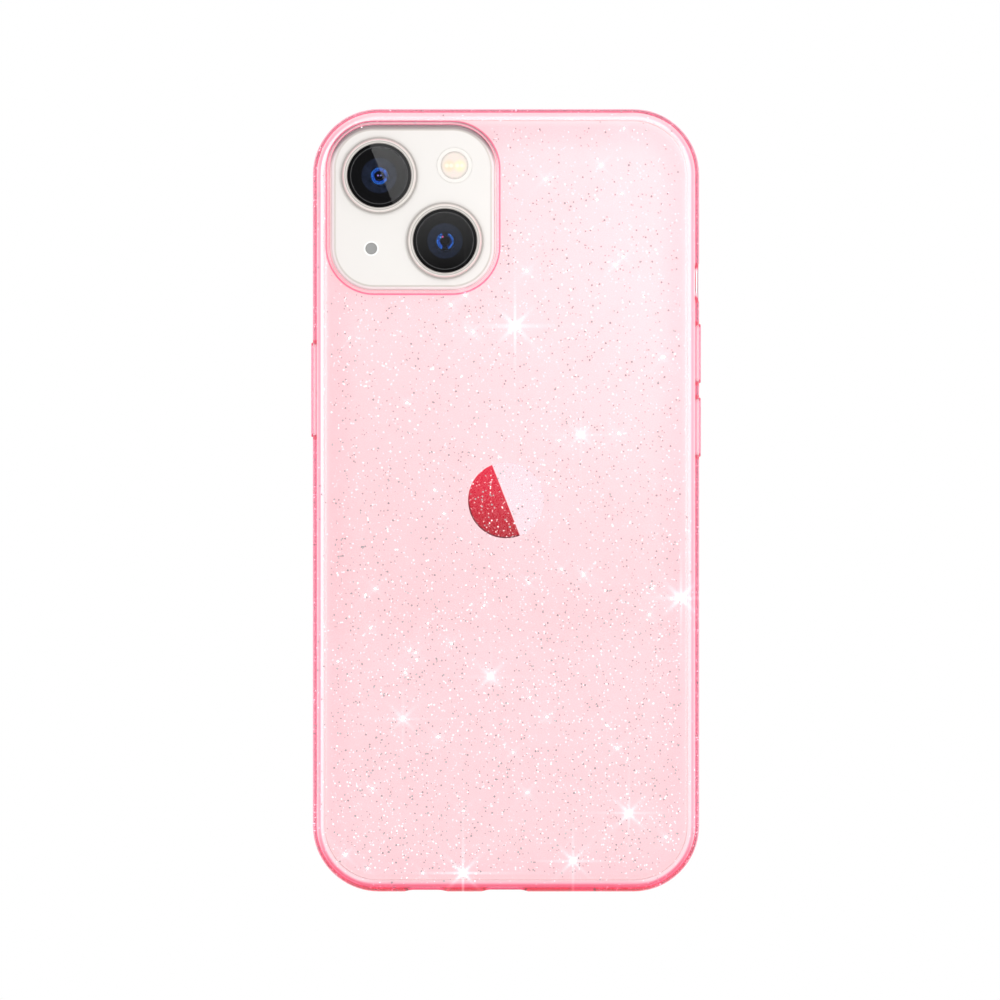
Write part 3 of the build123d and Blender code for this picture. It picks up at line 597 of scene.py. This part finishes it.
def plateau_material(name):
    """Satin warm white glass, with painted shade where its upper edge lies under the guard and round what it
    carries, and painted lines on its rounded edge.
    """
    mat, g = new_material(name)
    colour = g.mix(g.noise(8.0, 2.0), (0.715, 0.69, 0.665), (0.73, 0.705, 0.68))
    # painted shadow round the lens rings and the flash bezel
    shadow = (0.58, 0.55, 0.52)
    for node, reach, halo in (("upper_lens_ring", RING_RADIUS, 0.55), ("lower_lens_ring", RING_RADIUS, 0.55),
                              ("flash_bezel", BEZEL_RADIUS, 0.5)):
        close = g.ramp(g.from_axis(node), reach + halo, reach)
        colour = g.mix(g.maths("MULTIPLY", close, 0.4), colour, shadow)
    halo = g.between(g.from_axis("rear_microphone_mesh"), *MICROPHONE_HALO)
    colour = g.mix(g.maths("MULTIPLY", halo, 0.8), colour, (0.90, 0.89, 0.87))
    # painted shade and highlight: a faint dark line where the flat top turns over into the rounded edge, and
    # a light line on the edge
    inwards = g.from_edge("camera_plateau", PLATEAU_CORNER)
    colour = g.mix(g.between(inwards, *TURN_SHADE_LINE), colour, (0.55, 0.515, 0.475))
    colour = g.mix(g.between(inwards, *EDGE_HIGHLIGHT_LINE), colour, (0.80, 0.78, 0.77))
    # and the rounded edge that faces up lies in the shade of the guard
    normal = g.add("ShaderNodeNewGeometry").outputs["Normal"]
    facing_up = g.add("ShaderNodeSeparateXYZ", {0: normal}).outputs[2]
    colour = g.mix(g.ramp(facing_up, 0.05, 0.55), colour, (0.30, 0.285, 0.275))
    grain = g.noise(0.1, 3.0)
    inputs = {
        "Base Color": colour,
        "Roughness": g.ramp(grain, 0.3, 0.7, 0.4, 0.5),
        "Coat Weight": 0.1,
        "Coat Roughness": 0.15,
        "Normal": g.bump(grain, 0.001),
    }
    g.surface(g.add("ShaderNodeBsdfPrincipled", inputs).outputs[0])
    return mat


# Dark lines on a trim ring, from its axis, in mm: near side, far side and softness
RING_DARK_LINES = ((6.42, 6.52, 0.12), (6.02, 6.12, 0.1))
RING_FOOT = (7.0, 7.3, 0.1)


def ring_material(name, node):
    """Champagne trim ring with a fine turned grain, and dark lines at set radii round its axis."""
    mat, g = new_material(name)
    r = g.from_axis(node)
    dark_lines = g.maths("MAXIMUM", *(g.between(r, *dark_line) for dark_line in RING_DARK_LINES))
    colour = g.mix(dark_lines, (0.76, 0.73, 0.69), (0.42, 0.39, 0.365))
    colour = g.mix(g.between(r, *RING_FOOT), colour, (0.44, 0.41, 0.39))
    turned = g.maths("SINE", g.maths("MULTIPLY", r, 60.0))
    inputs = {
        "Base Color": colour,
        "Metallic": 0.55,
        "Roughness": g.ramp(g.noise(0.2), 0.3, 0.7, 0.34, 0.42),
        "Normal": g.bump(turned, 0.0008),
    }
    g.surface(g.add("ShaderNodeBsdfPrincipled", inputs).outputs[0])
    return mat


# Share of the light that the lens windows and the front elements mirror
WINDOW_MIRROR = 0.034
ELEMENT_MIRROR = 0.002
# From the axis of a lens, in mm: the inner edge of the printed mask, the grey line on it, the throat of
# the barrel, the dark pupil, and the bright band painted on the iris as the reflection of its coated glass
MASK_EDGE = (5.28, 5.34)
MASK_LINE = (5.32, 5.42, 0.1)
THROAT_EDGE = (3.42, 3.3)
PUPIL_EDGE = (0.85, 0.65)
IRIS_BAND = (1.08, 1.5, 0.18)


def window_material(name, node):
    """Flat cover glass. A black mask is printed round its edge, with one thin grey line."""
    mat, g = new_material(name)
    r = g.from_axis(node)
    line = g.between(r, *MASK_LINE)
    paint = g.add("ShaderNodeBsdfPrincipled", {
        "Base Color": g.mix(line, (0.0035, 0.0035, 0.0037), (0.055, 0.055, 0.056)),
        "Roughness": g.ramp(g.noise(0.3), 0.3, 0.7, 0.5, 0.6),
        "Specular IOR Level": 0.0,
    })
    through = g.add("ShaderNodeBsdfTransparent")
    base = g.add("ShaderNodeMixShader", {
        0: g.ramp(r, *MASK_EDGE), 1: through.outputs[0], 2: paint.outputs[0],
    })
    gloss = g.add("ShaderNodeBsdfGlossy", {
        "Color": rgba(WHITE), "Roughness": g.ramp(g.noise(2.5, 2.0), 0.3, 0.7, 0.0, 0.001),
    })
    body = g.add("ShaderNodeMixShader", {0: WINDOW_MIRROR, 1: base.outputs[0], 2: gloss.outputs[0]})
    g.surface(open_to_lamps(g, body.outputs[0]))
    return mat


def barrel_material(name, node):
    """Black lens barrel with light-trapping rings. The coating of the optics makes its throat navy."""
    mat, g = new_material(name)
    r = g.from_axis(node)
    rings = g.maths("SINE", g.maths("MULTIPLY", r, 40.0))
    navy = g.mix(g.noise(1.5, 2.0), (0.0085, 0.0125, 0.025), (0.0115, 0.0165, 0.033))
    inputs = {
        "Base Color": g.mix(g.ramp(r, *THROAT_EDGE), (0.0030, 0.0030, 0.0033), navy),
        "Roughness": g.ramp(g.noise(0.3), 0.3, 0.7, 0.5, 0.6),
        "Specular IOR Level": 0.0,
        "Normal": g.bump(rings, 0.003),
    }
    g.surface(g.add("ShaderNodeBsdfPrincipled", inputs).outputs[0])
    return mat


def element_material(name, node, sparks):
    """Front lens element: clear, with a very weak reflection and small coloured ghosts of the lamps, painted
    on it as glowing spots.
    """
    mat, g = new_material(name)
    x_mm, z_mm = middle_mm(node)
    through = g.add("ShaderNodeBsdfTransparent")
    gloss = g.add("ShaderNodeBsdfGlossy", {
        "Color": rgba((0.4, 0.5, 1.0)), "Roughness": g.ramp(g.noise(1.0), 0.3, 0.7, 0.02, 0.05),
    })
    pupil = g.add("ShaderNodeBsdfDiffuse", {"Color": rgba((0.002, 0.002, 0.004))})
    middle = g.ramp(g.from_axis(node), *PUPIL_EDGE)
    clear = g.add("ShaderNodeMixShader", {0: middle, 1: through.outputs[0], 2: pupil.outputs[0]})
    mirror = {0: ELEMENT_MIRROR, 1: clear.outputs[0], 2: gloss.outputs[0]}
    body = g.add("ShaderNodeMixShader", mirror).outputs[0]
    for right, above, radius, colour in sparks:
        away = g.length(*g.from_middle(x_mm + right, z_mm + above))
        spark = g.ramp(away, radius, radius * 0.35)
        glow = g.add("ShaderNodeEmission", {"Color": rgba(colour), "Strength": spark})
        body = g.add("ShaderNodeMixShader", {0: spark, 1: body, 2: glow.outputs[0]}).outputs[0]
    g.surface(open_to_lamps(g, body))
    return mat


def iris_material(name, node, two_sided):
    """Iris blades. Bright blue arcs, which break up into specks, are painted on them and glow, as the
    reflection in the coated glass over them.
    """
    mat, g = new_material(name)
    r = g.from_axis(node)
    right, _ = g.from_middle(*middle_mm(node))
    turn = g.maths("DIVIDE", right, g.maths("MAXIMUM", r, 0.01))
    if two_sided:
        arc = g.ramp(g.maths("ABSOLUTE", turn), 0.3, 0.5)
        thin = g.ramp(g.maths("MULTIPLY", turn, g.ramp(r, 1.3, 1.2)), 0.3, 0.6, 1.0, 0.1)
        arc = g.maths("MULTIPLY", arc, thin)
    else:
        arc = g.ramp(turn, 1.0, 0.9, 0.35, 1.0)
    specks = g.ramp(g.noise(0.12, 2.0), 0.45, 0.53, 0.06, 1.0)
    band = g.maths("MULTIPLY", g.between(r, *IRIS_BAND), g.maths("MULTIPLY", arc, specks))
    edge = g.ramp(r, 1.3, 1.65)
    blue = g.mix(edge, (0.012, 0.065, 0.38), (0.03, 0.16, 0.55))
    inputs = {
        "Base Color": g.mix(band, (0.004, 0.005, 0.008), blue),
        "Roughness": 0.5,
        "Specular IOR Level": 0.0,
        "Emission Color": blue,
        "Emission Strength": g.maths("MULTIPLY", band, 0.75),
        "Normal": g.bump(specks, 0.005),
    }
    g.surface(g.add("ShaderNodeBsdfPrincipled", inputs).outputs[0])
    return mat


def mirror_material(name):
    """Polished emblem film with a very fine brushed grain."""
    mat, g = new_material(name)
    grain = g.noise(0.2, 2.0, g.stretched(1.0, 1.0, 0.06))
    inputs = {
        "Base Color": g.mix(g.noise(3.0), (0.95, 0.94, 0.95), (0.97, 0.96, 0.97)),
        "Metallic": 1.0,
        "Roughness": g.ramp(grain, 0.3, 0.7, 0.0, 0.002),
    }
    g.surface(g.add("ShaderNodeBsdfPrincipled", inputs).outputs[0])
    return mat


def board_material(name):
    """Solder mask with a grid of traces and pads."""
    mat, g = new_material(name)
    brick = g.add("ShaderNodeTexBrick", {
        "Vector": g.place(), "Scale": 160.0, "Mortar Size": 0.03, "Color1": rgba((0.02, 0.07, 0.10)),
        "Color2": rgba((0.03, 0.10, 0.14)), "Mortar": rgba((0.45, 0.33, 0.12)),
    })
    inputs = {
        "Base Color": brick.outputs["Color"],
        "Roughness": g.ramp(g.noise(0.4), 0.3, 0.7, 0.3, 0.5),
        "Normal": g.bump(brick.outputs["Fac"], -0.03),
    }
    g.surface(g.add("ShaderNodeBsdfPrincipled", inputs).outputs[0])
    return mat


# The emitters behind the diffuser: their places from its middle, in mm, tints and bright cores
EMITTERS = (
    (-1.0, (0.90, 0.66, 0.46), (1.0, 0.93, 0.82)),
    (1.0, (0.90, 0.80, 0.50), (1.0, 0.98, 0.82)),
)


def flash_window_material(name, node):
    """Ribbed diffuser of the flash, with a peach emitter on its left and a yellow one on its right."""
    mat, g = new_material(name)
    x_mm, z_mm = middle_mm(node)
    mottle = g.noise(0.35, 2.0)
    colour = g.mix(g.ramp(g.from_axis(node), 2.6, 2.1), (0.55, 0.51, 0.47), (0.76, 0.69, 0.62))
    colour = g.mix(g.ramp(mottle, 0.45, 0.65, 0.0, 0.35), colour, (0.84, 0.64, 0.64))
    for place, tint, core in EMITTERS:
        away = g.length(*g.from_middle(x_mm + place, z_mm - 0.1))
        colour = g.mix(g.ramp(away, 1.5, 0.5, 0.0, 0.8), colour, tint)
        for offset in (-0.45, 0.4):
            away = g.length(*g.from_middle(x_mm + place + offset, z_mm - 0.05))
            colour = g.mix(g.ramp(away, 0.6, 0.1, 0.0, 0.6), colour, core)
    ribs = g.maths("SINE", g.maths("MULTIPLY", g.from_axis(node), 18.0))
    inputs = {
        "Base Color": colour,
        "Roughness": g.ramp(mottle, 0.3, 0.7, 0.15, 0.25),
        "Coat Weight": 0.2,
        "Normal": g.bump(ribs, 0.004),
    }
    g.surface(g.add("ShaderNodeBsdfPrincipled", inputs).outputs[0])
    return mat


# Ghosts of the lamps in each lens, painted as glowing spots: right and above its middle, radius in mm and
# colour
SPARKS = {
    "upper": ((-0.22, 0.02, 0.24, (0.42, 0.30, 1.0)), (0.30, 0.02, 0.20, (0.25, 0.35, 1.0))),
    "lower": ((-0.45, 0.75, 0.26, (0.75, 0.12, 0.30)), (-0.85, 0.65, 0.22, (0.10, 0.45, 0.9))),
}


def finish_nodes():
    """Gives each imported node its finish."""
    assign(tpu_material("tpu_shell"), "case_shell")
    assign(tpu_material("tpu_lip", joined=lip_joint), "retaining_lip")
    buttons = ("volume_up", "volume_down", "side_button")
    assign(tpu_material("tpu_web", joined=web_joint), *(f"{button}_web" for button in buttons))
    assign(tpu_material("tpu_cover"), *(f"{button}_cover" for button in buttons))
    assign(back_glass_material("back_glass", "handset_back_glass"), "handset_back_glass")
    assign(plateau_material("plateau_glass"), "camera_plateau")
    assign(plain_finish("frame_metal", (0.95, 0.86, 0.84), 0.34, 0.4, 0.12, 0.003, 0.01), "handset_frame",
           "handset_volume_up_button", "handset_volume_down_button", "handset_side_button")
    assign(plain_finish("switch_metal", (0.93, 0.91, 0.88), 0.3, 0.7, 0.12, 0.003), "ring_switch")
    assign(plain_finish("antenna_plastic", (0.80, 0.78, 0.75), 0.5), "antenna_breaks")
    for side in ("upper", "lower"):
        ring, window, barrel, element, iris = (
            f"{side}_lens_{part}" for part in ("ring", "window", "barrel", "element", "iris")
        )
        assign(ring_material(f"{ring}_metal", ring), ring)
        assign(window_material(f"{window}_glass", window), window)
        assign(barrel_material(f"{barrel}_black", barrel), barrel)
        assign(element_material(f"{element}_glass", element, SPARKS[side]), element)
        assign(iris_material(f"{iris}_blue", iris, side == "lower"), iris)
    assign(plain_finish("bezel_metal", (0.80, 0.77, 0.735), 0.35, 0.3, depth_mm=0.001), "flash_bezel")
    assign(flash_window_material("flash_diffuser", "flash_window"), "flash_window")
    assign(plain_finish("flash_phosphor", (0.98, 0.80, 0.45), 0.6, grain_mm=0.1), "flash_emitters")
    assign(mesh_material("rear_mesh_steel", (0.29, 0.29, 0.285), 0.12), "rear_microphone_mesh")
    assign(mesh_material("mesh_steel", (0.22, 0.22, 0.22), 0.16), "earpiece_mesh", "bottom_meshes")
    assign(mirror_material("emblem_mirror"), "back_emblem")
    assign(plain_finish("display_glass", (0.006, 0.006, 0.008), 0.06, depth_mm=0.0003), "display_glass")
    assign(plain_finish("display_panel", (0.01, 0.01, 0.012), 0.2), "display_panel")
    assign(plain_finish("front_camera_glass", (0.01, 0.012, 0.03), 0.05, coat=1.0), "front_camera")
    carrier = plain_finish("carrier_metal", (0.62, 0.62, 0.63), 0.4, 1.0, 0.3, where=(1, 1, 0.05))
    assign(carrier, "carrier_plate")
    assign(plain_finish("battery_wrap", (0.03, 0.03, 0.032), 0.5, grain_mm=0.6), "battery")
    assign(board_material("board_laminate"), "main_board")
    assign(plain_finish("port_steel", (0.5, 0.5, 0.51), 0.35, 1.0, 0.3, where=(1, 1, 0.1)), "port_shell")
    assign(plain_finish("port_plastic", (0.02, 0.02, 0.02), 0.5), "port_tongue")
    screws = plain_finish("screw_steel", (0.72, 0.70, 0.67), 0.3, 1.0, 0.15, where=(1, 1, 0.2))
    assign(screws, "bottom_screws")


# ---------------------------------------------------------------- studio


# The cards that the emblem and the lenses reflect: the lean and softness of their dividing line
CARD_LEAN = radians(21.5)
CARD_SOFTNESS = 0.00006
EMBLEM_LIT = (1.3, 1.24, 1.20)
EMBLEM_DARK = ((0.52, 0.0, 0.012), (1.0, 0.014, 0.07))
EMBLEM_EDGE = (0.12, 0.0, 0.01)
LENS_CARD_RADIUS = 6.05
LENS_CARD_ASIDE = 0.5
# Each lens window: how bright its card is at the bottom and at the top, and its dark side
LENS_CARDS = (
    ("upper_lens_window", 0.85, 1.30, (0.06, 0.06, 0.065)),
    ("lower_lens_window", 0.02, 0.60, None),
)
OPENING_GREY = (0.25, 0.25, 0.25)
OPENING_SLOPES = (0.16, 0.20)
# Light on matt surfaces: its strength, and how much more comes from the right and from above
MATT_LIGHT = 1.06
MATT_SLANT = (0.12, 0.18)


def slope(x, z):
    """How far across and up a reflection off the flat back goes, per unit of distance."""
    return (x - CAMERA_X) / CAMERA_DISTANCE, (z - CAMERA_Z) / CAMERA_DISTANCE


def card(g, across, up, x, z, radius, lit, dark=None, edge=None, aside=0.0):
    """A round card near the camera that a round node reflects: its share of the view, and its colour.

    Where dark is given, it fills the side left of a slanted line, which passes aside mm right of the middle,
    and edge is the colour of its lower rim.
    """
    middle_across, middle_up = slope(x, z)
    reach = radius * MM / CAMERA_DISTANCE
    dx, dz = g.maths("SUBTRACT", across, middle_across), g.maths("SUBTRACT", up, middle_up)
    away = g.length(dx, dz)
    colour = lit
    if dark is not None:
        slant = g.maths("ADD", dx, g.maths("MULTIPLY", dz, tan(CARD_LEAN)))
        slant = g.maths("SUBTRACT", slant, aside * MM / CAMERA_DISTANCE)
        if edge is not None:
            rim = g.ramp(away, reach * 0.955, reach * 0.975)
            low = g.ramp(dz, reach * 0.4, -reach * 0.3)
            dark = g.mix(g.maths("MULTIPLY", rim, low), dark, edge)
        colour = g.mix(g.ramp(slant, -CARD_SOFTNESS, CARD_SOFTNESS), dark, lit)
    return g.ramp(away, reach * 1.08, reach * 1.06), colour


def grey(g, value):
    return g.add("ShaderNodeCombineColor", {0: value, 1: value, 2: value}).outputs[0]


def studio_world():
    """White all round. Only mirrored rays see a grey opening round the camera, and in it the cards."""
    world = bpy.data.worlds.new("studio")
    bpy.context.scene.world = world
    world.use_nodes = True
    world.cycles.sampling_method = "NONE"
    g = Graph(world.node_tree)
    ray = g.add("ShaderNodeTexCoord").outputs["Generated"]
    x, y, z = g.add("ShaderNodeSeparateXYZ", {0: ray}).outputs[:3]
    ahead = g.maths("MAXIMUM", g.maths("MULTIPLY", y, -1.0), 0.001)
    across = g.maths("DIVIDE", x, ahead)
    up = g.maths("DIVIDE", z, ahead)
    # emblem card: crimson on the left, near white on the right
    emblem = (EMBLEM_LOW + EMBLEM_HIGH) / 2
    low, high = (slope(0, emblem.z + side * EMBLEM_RADIUS * MM)[1] for side in (-1, 1))
    crimson = g.mix(g.ramp(up, low, high, smooth=False), *EMBLEM_DARK)
    cards = [card(g, across, up, emblem.x, emblem.z, EMBLEM_RADIUS, EMBLEM_LIT, crimson, edge=EMBLEM_EDGE)]
    # lens cards: grey that fades downwards, and black left of the line in the upper one
    for node, bottom, top, dark in LENS_CARDS:
        lens_x, lens_z = (value * MM for value in middle_mm(node))
        low, high = slope(0, lens_z - 6 * MM)[1], slope(0, lens_z + 6 * MM)[1]
        lit = grey(g, g.ramp(up, low, high, bottom, top, smooth=False))
        cards.append(card(g, across, up, lens_x, lens_z, LENS_CARD_RADIUS, lit, dark, aside=LENS_CARD_ASIDE))
    # the grey opening round the camera keeps a veil of white off the crimson
    mirrored = g.mix(g.ramp(g.length(across, up), *OPENING_SLOPES), OPENING_GREY, WHITE)
    for share, colour in cards:
        mirrored = g.mix(share, mirrored, colour)
    mirrored = g.mix(g.maths("GREATER_THAN", y, 0.0), mirrored, WHITE)
    # matt surfaces get a little more light from the upper right
    key = g.maths("ADD", *(g.maths("MULTIPLY", way, by) for way, by in zip((x, z), MATT_SLANT)))
    matt = grey(g, g.maths("MULTIPLY", g.maths("ADD", 1.0, key), MATT_LIGHT))
    path = g.add("ShaderNodeLightPath").outputs
    seen = g.mix(path["Is Glossy Ray"], WHITE, mirrored)
    seen = g.mix(path["Is Diffuse Ray"], seen, matt)
    background = g.add("ShaderNodeBackground", {"Color": seen, "Strength": 1.0})
    g.add("ShaderNodeOutputWorld", {"Surface": background.outputs[0]})


def softbox(name, place, size_x, size_z, radiance, aim, matt=False):
    """An area lamp that faces aim, as bright to look at as radiance. It lights matt or glossy surfaces."""
    data = bpy.data.lights.new(name, "AREA")
    data.shape = "RECTANGLE"
    data.size, data.size_y = size_x, size_z
    data.energy = radiance * pi * size_x * size_z
    lamp = bpy.data.objects.new(name, data)
    lamp.location = place
    lamp.rotation_euler = (Vector(aim) - Vector(place)).to_track_quat("-Z", "Y").to_euler()
    lamp.visible_camera = False
    lamp.visible_transmission = False
    lamp.visible_diffuse = matt
    lamp.visible_glossy = not matt
    bpy.context.scene.collection.objects.link(lamp)


# Boxes that the shoulder mirrors: place, width and height in metres, and radiance
GLOSS_BOXES = {
    "left_strip": ((-0.57, -0.70, CENTRE_Z), 0.46, 0.9, 4.5),
    "right_strip": ((0.57, -0.70, CENTRE_Z), 0.46, 0.9, 3.6),
    "top_box": ((0.05, -0.55, CENTRE_Z + 0.72), 0.9, 0.24, 3.3),
}
KEY_PLACE, KEY_AIM = (0.05, -0.10, CENTRE_Z + 0.05), (0.03, 0, CENTRE_Z + 0.05)
KEY_SIZE, KEY_RADIANCE = 0.06, 3.0


def add_lamps():
    """Tall boxes at both sides and one above for the shoulder highlights, and a small key close in front
    of the upper right, which lights matt surfaces."""
    for name, (place, width, height, radiance) in GLOSS_BOXES.items():
        softbox(name, place, width, height, radiance, (0, 0, CENTRE_Z))
    softbox("matt_key", KEY_PLACE, KEY_SIZE, KEY_SIZE, KEY_RADIANCE, KEY_AIM, True)


# Rays of the stars: threshold and limit of the brightness they start from, strength, angle and fade
STAR_RAYS = ((8.0, 18.0, 0.25, 0.0, 0.91), (2.0, 4.0, 0.5, radians(45.0), 0.80))


def star_glare():
    """Stars on the flakes that flash, as a lens draws them: upright on the brightest, slanted on all."""
    scene = bpy.context.scene
    scene.use_nodes = True
    tree = scene.node_tree
    tree.nodes.clear()
    picture = tree.nodes.new("CompositorNodeRLayers").outputs["Image"]
    for threshold, most, strength, angle, fade in STAR_RAYS:
        glare = tree.nodes.new("CompositorNodeGlare")
        glare.glare_type = "STREAKS"
        settings = {"Threshold": threshold, "Strength": strength, "Streaks": 4, "Streaks Angle": angle,
                    "Iterations": 3, "Fade": fade, "Color Modulation": 0.0, "Maximum": most}
        for key, value in settings.items():
            glare.inputs[key].default_value = value
        tree.links.new(picture, glare.inputs["Image"])
        picture = glare.outputs[0]
    out = tree.nodes.new("CompositorNodeComposite")
    tree.links.new(picture, out.inputs["Image"])


# The floor, in metres: how far back and to each side it goes, how high its wall is, and its bend
FLOOR_FRONT, FLOOR_BACK, FLOOR_SIDE = -2.0, 1.2, 3.0
FLOOR_RISE, FLOOR_BEND, FLOOR_GAP = 1.6, 0.4, 0.0002
FLOOR_BEHIND_PLASTIC = 1.12


def add_floor():
    """A plain pale floor that curves up into a pale wall far behind."""
    flat_end = FLOOR_BACK - FLOOR_BEND
    turns = np.linspace(0, pi / 2, 24)
    profile = [(FLOOR_FRONT, 0.0), (flat_end, 0.0)]
    profile += [(flat_end + FLOOR_BEND * sin(turn), FLOOR_BEND - FLOOR_BEND * cos(turn)) for turn in turns]
    profile.append((FLOOR_BACK, FLOOR_RISE))
    points, faces = [], []
    for y, z in profile:
        points += [(-FLOOR_SIDE, y, z - FLOOR_GAP), (FLOOR_SIDE, y, z - FLOOR_GAP)]
    for k in range(len(profile) - 1):
        faces.append([2 * k, 2 * k + 1, 2 * k + 3, 2 * k + 2])
    mesh = bpy.data.meshes.new("floor")
    mesh.from_pydata(points, [], faces)
    floor = bpy.data.objects.new("floor", mesh)
    bpy.context.scene.collection.objects.link(floor)
    mat, g = new_material("floor_white")
    # white to the camera, and a little brighter to rays that come through the clear plastic
    seen = g.add("ShaderNodeLightPath").outputs["Is Camera Ray"]
    glow = g.ramp(seen, 0.0, 1.0, FLOOR_BEHIND_PLASTIC, 1.0)
    base = g.add("ShaderNodeEmission", {"Color": rgba(WHITE), "Strength": glow})
    g.surface(base.outputs[0])
    mesh.materials.append(mat)
    for polygon in mesh.polygons:
        polygon.use_smooth = True


def add_camera():
    """The photo's camera."""
    data = bpy.data.cameras.new("camera")
    data.lens, data.sensor_width = LENS_MM, SENSOR_MM
    camera = bpy.data.objects.new("camera", data)
    camera.location = (CAMERA_X, -CAMERA_DISTANCE, CAMERA_Z)
    camera.rotation_euler = (pi / 2, 0, 0)
    bpy.context.scene.collection.objects.link(camera)
    bpy.context.scene.camera = camera


scene = bpy.context.scene
scene.view_settings.view_transform = "Standard"
# light goes through many walls of clear plastic and turns back inside them
scene.cycles.max_bounces = 24
scene.cycles.glossy_bounces = 16
scene.cycles.transmission_bounces = 24
scene.cycles.transparent_max_bounces = 32
finish_nodes()
add_glitter()
add_flashes()
studio_world()
add_lamps()
star_glare()
add_floor()
add_camera()
